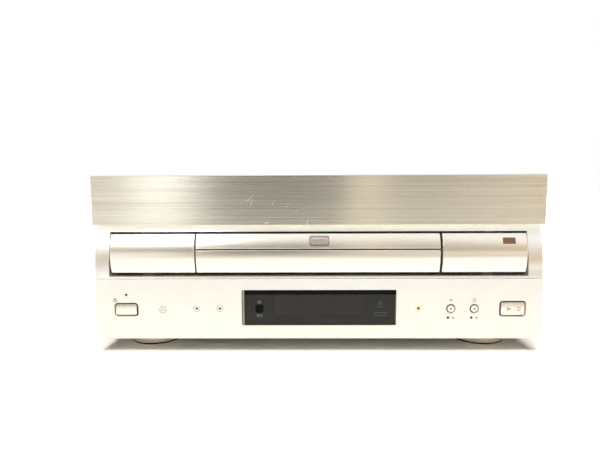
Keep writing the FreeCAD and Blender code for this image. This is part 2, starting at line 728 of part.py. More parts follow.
# ---------------------------------------------------------------- trays

def rack_teeth():
    """Straight-sided teeth on the inner face of the left rail."""
    pitch = math.pi * GEAR_MODULE
    slope = math.tan(math.radians(PRESSURE_ANGLE))
    root_x = -RAIL_INNER
    tip_x = RACK_PITCH_X + TOOTH_TOP * GEAR_MODULE
    half = pitch / 4 - RACK_BACKLASH / 2
    half_root = half + (RACK_PITCH_X - root_x) * slope
    half_tip = half - (tip_x - RACK_PITCH_X) * slope
    first = math.ceil((TRAY_FRONT + RACK_END - GEAR_Y) / pitch)
    last = math.floor((RAIL_REAR - GEAR_Y) / pitch)
    teeth = []
    for k in range(first, last):
        y = GEAR_Y + (k + 0.5) * pitch
        corners = [
            V(root_x - RACK_ROOTING, y - half_root, RACK_Z),
            V(root_x, y - half_root, RACK_Z),
            V(tip_x, y - half_tip, RACK_Z),
            V(tip_x, y + half_tip, RACK_Z),
            V(root_x, y + half_root, RACK_Z),
            V(root_x - RACK_ROOTING, y + half_root, RACK_Z),
        ]
        outline = Part.makePolygon(corners + corners[:1])
        teeth.append(Part.Face(outline).extrude(V(0, 0, RACK_H)))
    return teeth


def large_tray():
    rim_z = SEAT_Z + SEAT_DEPTH
    plate_z = SEAT_Z - TRAY_T
    start = TRAY_FRONT + DOOR_WALL
    plate = box(-TRAY_HALF, TRAY_HALF, start, TRAY_REAR, plate_z, rim_z)
    recess = rod(V(0, SPINDLE_Y, SEAT_Z), DISC_R + DISC_PLAY, SEAT_DEPTH + PAST)
    channel = box(-CHANNEL_HALF, CHANNEL_HALF, start - PAST, TRAY_REAR + PAST, plate_z - PAST, rim_z + PAST)
    plate = take(plate, [recess, channel])
    outer = CHANNEL_HALF + CHANNEL_WALL
    floor_z = CHANNEL_FLOOR - CHANNEL_T
    trough = box(-outer, outer, start, TRAY_REAR, floor_z, SEAT_Z)
    inside = box(-CHANNEL_HALF, CHANNEL_HALF, start - PAST, TRAY_REAR + PAST, CHANNEL_FLOOR, SEAT_Z + PAST)
    trough = trough.cut(inside)
    pieces = [plate, trough]
    for side in (-1, 1):
        low, high = sorted((side * TRAY_HALF, side * RAIL_INNER))
        pieces.append(box(low, high, start, RAIL_REAR, RAIL_BOTTOM, SEAT_Z))
    wall_half = DOOR_HALF - FRONT_WALL_INSET
    front_wall = box(-wall_half, wall_half, TRAY_FRONT, start, DOOR_BOTTOM + FRONT_WALL_INSET,
                     DOOR_TOP - SMALL_WALL_INSET)
    doorway = box(-CENTRE_HALF - RIGHT_SEAM, CENTRE_HALF + RIGHT_SEAM, TRAY_FRONT - PAST, start + PAST,
                  CHANNEL_FLOOR, DOOR_TOP)
    pieces.append(front_wall.cut(doorway))
    body = join(pieces)
    slot = box(-SLOT_HALF, SLOT_HALF, SPINDLE_Y, TRAY_REAR + PAST, floor_z - PAST, CHANNEL_FLOOR + PAST)
    nose = rod(V(0, SPINDLE_Y, floor_z - PAST), SLOT_HALF, CHANNEL_T + 2 * PAST)
    body = take(body, [slot, nose])
    return join([body] + rack_teeth())


def small_tray():
    start = TRAY_FRONT + DOOR_WALL
    plate_z = SMALL_SEAT_Z - SMALL_T - MINI_SEAT_DEPTH
    plate = box(-SMALL_HALF, SMALL_HALF, start, SMALL_REAR, plate_z, SMALL_TOP)
    seat = rod(V(0, SPINDLE_Y, SMALL_SEAT_Z), SMALL_DISC_R + DISC_PLAY, SMALL_SEAT_DEPTH + PAST)
    mini_start = V(0, SPINDLE_Y, SMALL_SEAT_Z - MINI_SEAT_DEPTH)
    mini = rod(mini_start, MINI_DISC_R + DISC_PLAY, MINI_SEAT_DEPTH + PAST)
    slot = box(-SMALL_SLOT_HALF, SMALL_SLOT_HALF, SPINDLE_Y, SMALL_REAR + PAST,
               plate_z - PAST, SMALL_TOP + PAST)
    nose = rod(V(0, SPINDLE_Y, plate_z - PAST), SMALL_SLOT_HALF, SMALL_TOP - plate_z + 2 * PAST)
    plate = take(plate, [seat, mini, slot, nose])
    pieces = [plate]
    for side in (-1, 1):
        low, high = sorted((side * SMALL_HALF, side * (SMALL_HALF - SMALL_RAIL_T)))
        pieces.append(box(low, high, start, SMALL_REAR + SMALL_TAIL, SMALL_BOTTOM, SMALL_SEAT_Z))
    wall_half = CENTRE_HALF - SMALL_WALL_INSET
    pieces.append(box(-wall_half, wall_half, TRAY_FRONT, start, SPLIT_Z + SPLIT_GAP,
                      DOOR_TOP - SMALL_WALL_INSET))
    return join(pieces)


# ---------------------------------------------------------------- tray drive

def gear_outline(z):
    """Involute teeth, one of them centred on the -X side."""
    alpha = math.radians(PRESSURE_ANGLE)
    base_r = GEAR_R * math.cos(alpha)
    root_r = GEAR_R - TOOTH_ROOT * GEAR_MODULE
    tip_r = GEAR_R + TOOTH_TOP * GEAR_MODULE
    involute = math.tan(alpha) - alpha
    steps = 4
    flank = [(root_r, 0.0)]
    for i in range(steps + 1):
        radius = base_r + (tip_r - base_r) * i / steps
        angle = math.acos(base_r / radius)
        flank.append((radius, math.tan(angle) - angle))
    points = []
    for tooth in range(GEAR_TEETH):
        middle = 2 * math.pi * tooth / GEAR_TEETH
        sides = []
        for radius, turned in flank:
            spread = math.pi / (2 * GEAR_TEETH) + involute - turned
            sides.append((radius, spread))
        for radius, spread in sides:
            a = middle - spread
            points.append(V(GEAR_X + radius * math.cos(a), GEAR_Y + radius * math.sin(a), z))
        for radius, spread in reversed(sides):
            a = middle + spread
            points.append(V(GEAR_X + radius * math.cos(a), GEAR_Y + radius * math.sin(a), z))
    return Part.makePolygon(points + points[:1])


def drive_gear():
    """Gear and belt pulley in one moulding, on a stud of the chassis."""
    teeth = Part.Face(gear_outline(RACK_Z)).extrude(V(0, 0, RACK_H))
    hub = rod(V(GEAR_X, GEAR_Y, PULLEY_Z), GEAR_HUB_R, RACK_Z + RACK_H - PULLEY_Z)
    pulley = rod(V(GEAR_X, GEAR_Y, PULLEY_Z), PULLEY_R, PULLEY_H)
    bore = rod(V(GEAR_X, GEAR_Y, PULLEY_Z - PAST), STUD_R + RUN_FIT, RACK_Z + RACK_H - PULLEY_Z + 2 * PAST)
    return join([teeth, hub, pulley]).cut(bore)


def motor_pulley():
    """Pulley with the motor's shaft, which runs down into the can."""
    wheel = rod(V(MOTOR_PULLEY_X, GEAR_Y, PULLEY_Z), MOTOR_PULLEY_R, PULLEY_H)
    shaft_low = CHASSIS_Z - SHAFT_ENGAGED
    return join([wheel, rod(V(MOTOR_PULLEY_X, GEAR_Y, shaft_low), MOTOR_SHAFT_R, PULLEY_Z - shaft_low)])


def loop_face(big_r, small_r, z):
    """Outline of a belt round the two pulleys."""
    span = MOTOR_PULLEY_X - GEAR_X
    tilt = math.acos((big_r - small_r) / span)
    big = V(GEAR_X, GEAR_Y, z)
    small = V(MOTOR_PULLEY_X, GEAR_Y, z)
    up = V(math.cos(tilt), math.sin(tilt), 0)
    down = V(math.cos(tilt), -math.sin(tilt), 0)
    edges = [
        arc(big + up * big_r, big + V(-big_r, 0, 0), big + down * big_r),
        line(big + down * big_r, small + down * small_r),
        arc(small + down * small_r, small + V(small_r, 0, 0), small + up * small_r),
        line(small + up * small_r, big + up * big_r),
    ]
    return Part.Face(Part.Wire(edges))


def loading_belt():
    z = PULLEY_Z + (PULLEY_H - BELT_H) / 2
    inner_big = PULLEY_R + 2 * RUN_FIT
    inner_small = MOTOR_PULLEY_R + 2 * RUN_FIT
    outer = loop_face(inner_big + BELT_T, inner_small + BELT_T, z).extrude(V(0, 0, BELT_H))
    inner = loop_face(inner_big, inner_small, z - PAST).extrude(V(0, 0, BELT_H + 2 * PAST))
    return outer.cut(inner)


def loading_motor():
    can = rod(V(MOTOR_PULLEY_X, GEAR_Y, CHASSIS_Z - LOADING_MOTOR_H), LOADING_MOTOR_R, LOADING_MOTOR_H)
    boss = rod(V(MOTOR_PULLEY_X, GEAR_Y, CHASSIS_Z), MOTOR_BOSS_R, CHASSIS_T)
    bore_low = CHASSIS_Z - SHAFT_ENGAGED - SHEET_GAP
    bore = rod(V(MOTOR_PULLEY_X, GEAR_Y, bore_low), MOTOR_SHAFT_R + RUN_FIT, CHASSIS_TOP + PAST - bore_low)
    return join([can, boss]).cut(bore)


# ---------------------------------------------------------------- mechanism

def mechanism_chassis():
    front = FRONT + GUIDE_SETBACK
    plate = box(-CHASSIS_HALF, CHASSIS_HALF, front, CHASSIS_REAR, CHASSIS_Z, CHASSIS_TOP)
    well_half = BASE_HALF + WELL_GAP
    well = box(-well_half, well_half, SPINDLE_Y - BASE_FRONT - WELL_GAP, CHASSIS_REAR + PAST,
               CHASSIS_Z - PAST, CHASSIS_TOP + PAST)
    motor_hole = rod(V(MOTOR_PULLEY_X, GEAR_Y, CHASSIS_Z - PAST), MOTOR_BOSS_R, CHASSIS_T + 2 * PAST)
    plate = take(plate, [well, motor_hole])
    legs = []
    for sx in (-1, 1):
        for y in (front, CHASSIS_REAR - LEG_SETBACK - LEG_SIZE):
            low, high = sorted((sx * CHASSIS_HALF, sx * (CHASSIS_HALF - LEG_SIZE)))
            legs.append(box(low, high, y, y + LEG_SIZE, FLOOR_Z, CHASSIS_Z))
    stud = rod(V(GEAR_X, GEAR_Y, CHASSIS_Z), STUD_R, RACK_Z + RACK_H + STUD_END - CHASSIS_Z)
    return join([plate] + legs + [stud])


def tray_guide():
    """Right-hand runner of the large tray: ledge, side wall and top lip."""
    front = FRONT + GUIDE_SETBACK
    inner = TRAY_HALF + GUIDE_FIT
    rim_z = SEAT_Z + SEAT_DEPTH
    outer = GUIDE_OUTER
    ledge = box(RAIL_INNER, outer, front, CHASSIS_REAR, CHASSIS_TOP, RAIL_BOTTOM - SHEET_GAP)
    wall = box(inner, outer, front, CHASSIS_REAR, CHASSIS_TOP, rim_z + SHEET_GAP + GUIDE_T)
    lip = box(outer - GUIDE_LIP, outer, front, CHASSIS_REAR, rim_z + SHEET_GAP, rim_z + SHEET_GAP + GUIDE_T)
    return join([ledge, wall, lip])


def damper_places():
    rows = (SPINDLE_Y - DAMPER_FRONT, SLED_END - DAMPER_REAR)
    return [(sx * (BASE_HALF + DAMPER_OUT), y) for sx in (-1, 1) for y in rows]


def dampers():
    """Rubber bushes between the pickup base's ears and the chassis."""
    return group([rod(V(x, y, BASE_TOP), DAMPER_R, CHASSIS_Z - BASE_TOP) for x, y in damper_places()])


def pickup_base():
    """Cast plate that carries the spindle motor, the shafts and the screw."""
    plate = box(-BASE_HALF, BASE_HALF, SPINDLE_Y - BASE_FRONT, SLED_END + BASE_REAR, BASE_Z, BASE_TOP)
    window = box(-BASE_SLOT_HALF, BASE_SLOT_HALF, SPINDLE_Y + MOTOR_R + BASE_REAR, SLED_END - BASE_REAR,
                 BASE_Z - PAST, BASE_TOP + PAST)
    ears = []
    for x, y in damper_places():
        low, high = sorted((math.copysign(BASE_HALF - ROOTING, x), x + math.copysign(EAR_HALF, x)))
        ears.append(box(low, high, y - EAR_HALF, y + EAR_HALF, BASE_Z, BASE_TOP))
    blocks = []
    for x in (-SHAFT_X, SHAFT_X, SCREW_X):
        for y in (SHAFT_START, SLED_END):
            blocks.append(box(x - BLOCK_HALF, x + BLOCK_HALF, y, y + BLOCK_T, BASE_Z,
                              PICKUP_Z + SHAFT_R + BLOCK_OVER))
    body = join([plate.cut(window)] + ears + blocks)
    bores = []
    for x, radius in ((-SHAFT_X, SHAFT_R), (SHAFT_X, SHAFT_R), (SCREW_X, SCREW_R + RUN_FIT)):
        bores.append(rod(V(x, SHAFT_START - PAST, PICKUP_Z), radius, SHAFT_LENGTH + 2 * PAST, Y_AXIS))
    return take(body, bores)


def pickup_shafts():
    starts = [V(x, SHAFT_START, PICKUP_Z) for x in (-SHAFT_X, SHAFT_X)]
    return group([rod(start, SHAFT_R, SHAFT_LENGTH, Y_AXIS) for start in starts])


def sled_screw():
    return rod(V(SCREW_X, SHAFT_START, PICKUP_Z), SCREW_R, SHAFT_LENGTH, Y_AXIS)


def sled_motor():
    """Small motor on the end of the screw, on a foot of the pickup base."""
    end = SHAFT_START - SHEET_GAP
    can = rod(V(SCREW_X, end - SLED_MOTOR_L, PICKUP_Z), SLED_MOTOR_R, SLED_MOTOR_L, Y_AXIS)
    foot_half = SLED_MOTOR_R - BLOCK_OVER
    foot = box(SCREW_X - foot_half, SCREW_X + foot_half, end - SLED_MOTOR_L + BLOCK_T, end - BLOCK_T,
               BASE_TOP, PICKUP_Z)
    return join([can, foot])


def pickup_carriage():
    """Block that slides on two shafts, with the screw's nut at its side."""
    half = CARRIAGE_W / 2
    middle = CARRIAGE_START + CARRIAGE_L / 2
    body = box(-half, half, CARRIAGE_START, CARRIAGE_START + CARRIAGE_L, CARRIAGE_BOTTOM, CARRIAGE_TOP)
    nut = box(half - ROOTING, SCREW_X + BLOCK_HALF, middle - NUT_L / 2, middle + NUT_L / 2,
              PICKUP_Z - BLOCK_HALF, PICKUP_Z + BLOCK_HALF)
    deck = rod(V(0, middle, CARRIAGE_TOP), DECK_R, DECK_H)
    ring = rod(V(0, middle, CARRIAGE_TOP + DECK_H), LENS_R + LENS_RING, DECK_H)
    socket = rod(V(0, middle, CARRIAGE_TOP + DECK_H), LENS_R, DECK_H + PAST)
    body = join([body, nut, deck, ring]).cut(socket)
    bores = []
    for x, radius in ((-SHAFT_X, SHAFT_R), (SHAFT_X, SHAFT_R), (SCREW_X, SCREW_R)):
        start = V(x, CARRIAGE_START - PAST, PICKUP_Z)
        bores.append(rod(start, radius + RUN_FIT, CARRIAGE_L + 2 * PAST, Y_AXIS))
    return take(body, bores)


def objective_lens():
    return rod(V(0, CARRIAGE_START + CARRIAGE_L / 2, CARRIAGE_TOP + DECK_H), LENS_R, LENS_T)


def spindle_motor():
    can = rod(V(0, SPINDLE_Y, BASE_TOP), MOTOR_R, MOTOR_H)
    bore_low = BASE_TOP + MOTOR_H - SHAFT_ENGAGED - SHEET_GAP
    return can.cut(rod(V(0, SPINDLE_Y, bore_low), SPINDLE_R + RUN_FIT, SHAFT_ENGAGED + PAST))


def turntable():
    """Stepped table for both disc sizes, with the motor's shaft pressed into it."""
    flange = rod(V(0, SPINDLE_Y, TABLE_Z), TABLE_R, TABLE_T)
    collar = rod(V(0, SPINDLE_Y, TABLE_Z + TABLE_T), COLLAR_R, COLLAR_H)
    cone = Part.makeCone(CONE_R, CONE_TIP_R, CONE_H, V(0, SPINDLE_Y, TABLE_Z + TABLE_T + COLLAR_H))
    boss = rod(V(0, SPINDLE_Y, TABLE_Z - TABLE_BOSS_H), TABLE_BOSS_R, TABLE_BOSS_H)
    shaft_low = BASE_TOP + MOTOR_H - SHAFT_ENGAGED
    shaft = rod(V(0, SPINDLE_Y, shaft_low), SPINDLE_R, TABLE_Z - shaft_low)
    return join([flange, collar, cone, boss, shaft])


def clamp_bridge():
    """Steel bridge over the trays with two lugs for the clamp arm."""
    y0 = SPINDLE_Y - BRIDGE_L / 2
    y1 = SPINDLE_Y + BRIDGE_L / 2
    top = box(-BRIDGE_HALF, BRIDGE_HALF, y0, y1, BRIDGE_Z - BRIDGE_T, BRIDGE_Z)
    sides = [
        box(-BRIDGE_HALF, -BRIDGE_HALF + BRIDGE_T, y0, y1, CHASSIS_TOP, BRIDGE_Z),
        box(BRIDGE_HALF - BRIDGE_T, BRIDGE_HALF, y0, y1, CHASSIS_TOP, BRIDGE_Z),
    ]
    window = rod(V(0, SPINDLE_Y, BRIDGE_Z - BRIDGE_T - PAST), CLAMPER_R + BRIDGE_WINDOW, BRIDGE_T + 2 * PAST)
    tongue = box(-LUG_OUTER, LUG_OUTER, y1, HINGE_Y + LUG_HALF, BRIDGE_Z - BRIDGE_T, BRIDGE_Z)
    lugs = []
    for sx in (-1, 1):
        low, high = sorted((sx * (LUG_OUTER - LUG_T), sx * LUG_OUTER))
        lugs.append(box(low, high, HINGE_Y - LUG_HALF, HINGE_Y + LUG_HALF, HINGE_Z - LUG_HALF, BRIDGE_Z))
    body = join([top.cut(window), tongue] + sides + lugs)
    return body.cut(rod(V(-LUG_OUTER - PAST, HINGE_Y, HINGE_Z), HINGE_R, 2 * LUG_OUTER + 2 * PAST, X_AXIS))


def clamp_pin():
    return rod(V(-LUG_OUTER, HINGE_Y, HINGE_Z), HINGE_R, 2 * LUG_OUTER, X_AXIS)


def clamp_arm():
    """Flat arm with two ears on the hinge pin and a hole for the clamper's neck."""
    plate = box(-ARM_HALF, ARM_HALF, SPINDLE_Y, HINGE_Y - LUG_HALF, ARM_Z, ARM_Z + ARM_T)
    nose = rod(V(0, SPINDLE_Y, ARM_Z), ARM_HALF, ARM_T)
    ears = []
    for sx in (-1, 1):
        x0, x1 = sorted((sx * ARM_HALF, sx * (ARM_HALF - LUG_T)))
        ears.append(box(x0, x1, HINGE_Y - 2 * LUG_HALF, HINGE_Y, ARM_Z, ARM_Z + ARM_T))
        ears.append(box(x0, x1, HINGE_Y - LUG_HALF, HINGE_Y, ARM_Z, HINGE_Z))
        ears.append(rod(V(x0, HINGE_Y, HINGE_Z), EAR_R, x1 - x0, X_AXIS))
    body = join([plate, nose] + ears)
    neck = rod(V(0, SPINDLE_Y, ARM_Z - PAST), CLAMPER_NECK + SHEET_GAP, ARM_T + 2 * PAST)
    bore = rod(V(-ARM_HALF - PAST, HINGE_Y, HINGE_Z), HINGE_R + RUN_FIT, 2 * ARM_HALF + 2 * PAST, X_AXIS)
    return take(body, [neck, bore])


def clamper():
    """Free-turning disc that hangs in the arm by its cap."""
    cap_z = ARM_Z + ARM_T + SHEET_GAP
    rim = rod(V(0, SPINDLE_Y, CLAMPER_Z), CLAMPER_R, CLAMPER_RIM)
    neck = rod(V(0, SPINDLE_Y, CLAMPER_Z + CLAMPER_RIM), CLAMPER_NECK, cap_z - CLAMPER_Z - CLAMPER_RIM)
    cap = rod(V(0, SPINDLE_Y, cap_z), CLAMPER_CAP_R, CLAMPER_CAP_T)
    return join([rim, neck, cap])


# ---------------------------------------------------------------- case

def base_chassis():
    """Folded pan with a rim all round."""
    y0 = MOULD_BACK + SHEET_GAP
    floor = box(-INSIDE_HALF, INSIDE_HALF, y0, INSIDE_REAR, FOOT_HEIGHT, FLOOR_Z)
    high = FOOT_HEIGHT + PAN_FLANGE
    rims = [
        box(-INSIDE_HALF, -INSIDE_HALF + PAN_T, y0, INSIDE_REAR, FOOT_HEIGHT, high),
        box(INSIDE_HALF - PAN_T, INSIDE_HALF, y0, INSIDE_REAR, FOOT_HEIGHT, high),
        box(-INSIDE_HALF, INSIDE_HALF, y0, y0 + PAN_T, FOOT_HEIGHT, high),
        box(-INSIDE_HALF, INSIDE_HALF, INSIDE_REAR - PAN_T, INSIDE_REAR, FOOT_HEIGHT, high),
    ]
    body = join([floor] + rims)
    hole_r = FOOT_SCREW_R + SCREW_FIT
    return take(body, [rod(V(x, y, FOOT_HEIGHT - PAST), hole_r, PAN_T + 2 * PAST) for x, y in foot_places()])


def cover_block(half, y0, y1, low, high, corner):
    """Block with its two long upper edges rounded."""
    block = box(-half, half, y0, y1, low, high)
    edges = []
    for edge in block.Edges:
        bounds = edge.BoundBox
        if bounds.YLength > 1 and bounds.ZMin > high - 1:
            edges.append(edge)
    return block.makeFillet(corner, edges)


def top_cover():
    """Folded sheet over the top and both sides, with a group of vents."""
    y0 = MOULD_BACK + SHEET_GAP
    y1 = INSIDE_REAR - SHEET_GAP
    low = FOOT_HEIGHT + COVER_LIFT
    outer = cover_block(CASE_HALF, y0, y1, low, COVER_TOP, COVER_CORNER)
    inner = cover_block(CASE_HALF - COVER_T, y0 - PAST, y1 + PAST, low - PAST, COVER_TOP - COVER_T,
                        COVER_CORNER - COVER_T)
    slots = []
    for i in range(VENT_COUNT):
        x = VENT_X + i * VENT_PITCH
        slots.append(box(x, x + VENT_W, VENT_Y, VENT_Y + VENT_L,
                         COVER_TOP - COVER_T - PAST, COVER_TOP + PAST))
    return take(outer, [inner] + slots)


def jack_places():
    columns = range(JACK_COLUMNS)
    return [(JACK_X + c * JACK_PITCH, JACK_Z + r * JACK_PITCH) for c in columns for r in range(JACK_ROWS)]


def signal_places():
    return [(SIGNAL_X, JACK_Z + r * JACK_PITCH) for r in range(JACK_ROWS)]


def optical_face(half, y0, y1):
    return box(OPTICAL_X - half, OPTICAL_X + half, y0, y1, JACK_Z - half, JACK_Z + half)


def inlet_block(margin, y0, y1):
    half_w = INLET_W / 2 + margin
    half_h = INLET_H / 2 + margin
    return box(INLET_X - half_w, INLET_X + half_w, y0, y1, INLET_Z - half_h, INLET_Z + half_h)


def rear_panel():
    top = COVER_TOP - COVER_T - SHEET_GAP
    plate = box(-INSIDE_HALF, INSIDE_HALF, INSIDE_REAR, REAR, FOOT_HEIGHT + SHEET_GAP, top)
    start = INSIDE_REAR - PAST
    depth = REAR_T + 2 * PAST
    cuts = [rod(V(x, start, z), JACK_COLLAR_R + SHEET_GAP, depth, Y_AXIS) for x, z in jack_places()]
    for x, z in signal_places():
        cuts.append(rod(V(x, start, z), SIGNAL_R + SHEET_GAP, depth, Y_AXIS))
    cuts.append(inlet_block(0, start, start + depth))
    cuts.append(optical_face(OPTICAL_HALF + SHEET_GAP, start, start + depth))
    return take(plate, cuts)


def jack_body(x, z, half):
    return box(x - half, x + half, INSIDE_REAR - JACK_BODY, INSIDE_REAR, z - half, z + half)


def phono_jack(x, z):
    """Insulating block inside, collar in the panel, metal sleeve outside."""
    block = jack_body(x, z, JACK_PITCH / 2 - SHEET_GAP)
    collar = rod(V(x, INSIDE_REAR, z), JACK_COLLAR_R, REAR_T, Y_AXIS)
    sleeve = rod(V(x, REAR, z), JACK_R, JACK_PROUD, Y_AXIS)
    depth = JACK_HOLE_DEEP + REAR_T + JACK_PROUD + PAST
    hole = rod(V(x, INSIDE_REAR - JACK_HOLE_DEEP, z), JACK_HOLE_R, depth, Y_AXIS)
    return join([block, collar, sleeve]).cut(hole)


def signal_jack(x, z):
    """Round many-pin socket with a ring groove for its plug."""
    block = jack_body(x, z, SIGNAL_HALF)
    face = rod(V(x, INSIDE_REAR, z), SIGNAL_R, REAR_T, Y_AXIS)
    groove = tube(V(x, INSIDE_REAR - SIGNAL_GROOVE, z), SIGNAL_R - SIGNAL_WALL, SIGNAL_R - 2 * SIGNAL_WALL,
                  SIGNAL_GROOVE + REAR_T + PAST, Y_AXIS)
    return join([block, face]).cut(groove)


def optical_jack():
    """Square optical output with its shutter flush in the face."""
    face = optical_face(OPTICAL_HALF, INSIDE_REAR, REAR + 1)
    return join([jack_body(OPTICAL_X, JACK_Z, SIGNAL_HALF), face])


def mains_inlet():
    """Two-pin appliance inlet: a shroud open to the rear, round two pins."""
    bottom = REAR - INLET_DEEP
    shell = inlet_block(0, INSIDE_REAR, REAR)
    body = inlet_block(INLET_FLANGE, bottom - INLET_FLANGE, INSIDE_REAR)
    hollow = inlet_block(-INLET_WALL, bottom, REAR + 1)
    pins = []
    for sx in (-1, 1):
        start = V(INLET_X + sx * PIN_PITCH / 2, bottom - 1, INLET_Z)
        pins.append(rod(start, PIN_R, INLET_DEEP, Y_AXIS))
    return join([join([shell, body]).cut(hollow)] + pins)


def foot_places():
    return [(sx * FOOT_X, y) for sx in (-1, 1) for y in (FRONT_FOOT_Y, REAR_FOOT_Y)]


def foot(x, y):
    """Turned foot with a groove round it and a hole for its screw."""
    body = rod(V(x, y, PAD_HEIGHT), FOOT_RADIUS, FOOT_HEIGHT - PAD_HEIGHT)
    edges = [e for e in body.Edges if len(e.Vertexes) == 1 and abs(e.Vertexes[0].Z - PAD_HEIGHT) < 1e-6]
    body = body.makeChamfer(FOOT_CHAMFER, edges)
    groove = tube(V(x, y, FOOT_GROOVE_Z), FOOT_RADIUS + PAST, FOOT_RADIUS - FOOT_GROOVE_T, FOOT_GROOVE_H)
    socket = rod(V(x, y, FOOT_HEIGHT - FOOT_SCREW_L), FOOT_SCREW_R + SCREW_FIT, FOOT_SCREW_L + PAST)
    return take(body, [groove, socket])


def foot_pad(x, y):
    return rod(V(x, y, 0), FOOT_RADIUS - PAD_INSET, PAD_HEIGHT)


def foot_screw(x, y):
    shank = rod(V(x, y, FOOT_HEIGHT - FOOT_SCREW_L), FOOT_SCREW_R, FOOT_SCREW_L + PAN_T)
    head = rod(V(x, y, FLOOR_Z), FOOT_HEAD_R, FOOT_HEAD_H)
    return join([shank, head])


def cover_screws():
    """Two screws on each side of the top cover."""
    screws = []
    for sx in (-1, 1):
        for y in SIDE_SCREW_Y:
            point = V(sx * CASE_HALF, y, CASE_SCREW_Z)
            head = rod(point, SIDE_HEAD_R, SIDE_INSET, V(sx, 0, 0))
            shank = rod(point, CASE_SCREW_R, CASE_SCREW_L, V(-sx, 0, 0))
            screws.append(join([head, shank]))
    return screws


def rear_screws():
    """Screws through the rear panel into the folded edge of the base chassis."""
    screws = []
    outer = HALF - REAR_SCREW_INSET
    for x in (-outer, -REAR_SCREW_MIDDLE, REAR_SCREW_MIDDLE, outer):
        head = rod(V(x, REAR, CASE_SCREW_Z), REAR_HEAD_R, REAR_HEAD_H, Y_AXIS)
        shank = rod(V(x, REAR - CASE_SCREW_L, CASE_SCREW_Z), CASE_SCREW_R, CASE_SCREW_L, Y_AXIS)
        screws.append(join([head, shank]))
    return screws


# ---------------------------------------------------------------- electrics

def circuit_board(x_range, y_range):
    """A board on four standoffs."""
    x0, x1 = x_range
    y0, y1 = y_range
    board = box(x0, x1, y0, y1, BOARD_Z, BOARD_Z + BOARD_T)
    posts = []
    for x in (x0 + STANDOFF_IN, x1 - STANDOFF_IN):
        for y in (y0 + STANDOFF_IN, y1 - STANDOFF_IN):
            posts.append(rod(V(x, y, FLOOR_Z), STANDOFF_R, BOARD_Z - FLOOR_Z))
    return join([board] + posts)


def chips():
    """Large square packages of the main board."""
    top = BOARD_Z + BOARD_T
    packages = []
    for in_x, in_y, side in CHIPS:
        x = MAIN_X[0] + in_x
        y = MAIN_Y[0] + in_y
        packages.append(box(x, x + side, y, y + side, top, top + CHIP_T))
    return group(packages)


def capacitors():
    top = BOARD_Z + BOARD_T
    cans = []
    for in_x, in_y, radius, height in CAPACITORS:
        cans.append(rod(V(SUPPLY_X[0] + in_x, SUPPLY_Y[0] + in_y, top), radius, height))
    return group(cans)


def heat_sink():
    """Finned aluminium on the power board."""
    low = BOARD_Z + BOARD_T
    high = low + SINK_H
    width = (FIN_COUNT - 1) * FIN_PITCH + FIN_T
    x0 = SUPPLY_X[0] + SINK_IN_X
    y0 = SUPPLY_Y[0] + SINK_IN_Y
    pieces = [box(x0, x0 + width, y0, y0 + SINK_T, low, high)]
    for i in range(FIN_COUNT):
        x = x0 + i * FIN_PITCH
        pieces.append(box(x, x + FIN_T, y0 + SINK_T, y0 + SINK_T + FIN_L, low, high))
    return join(pieces)


def transformer():
    """Laminated core with its winding, on a foot plate."""
    out = CORE_PLATE_OUT
    low = FLOOR_Z + CORE_PLATE_T
    plate = box(CORE_X - out, CORE_X + CORE_W + out, CORE_Y - out, CORE_Y + CORE_L + out, FLOOR_Z, low)
    core = box(CORE_X, CORE_X + CORE_W, CORE_Y, CORE_Y + CORE_L, low, low + CORE_H)
    winding = rounded_block(CORE_X + CORE_W / 2, low + CORE_H / 2, WINDING_W, WINDING_H, WINDING_CORNER,
                            CORE_Y - out, CORE_Y + CORE_L + out)
    return join([plate, core, winding])


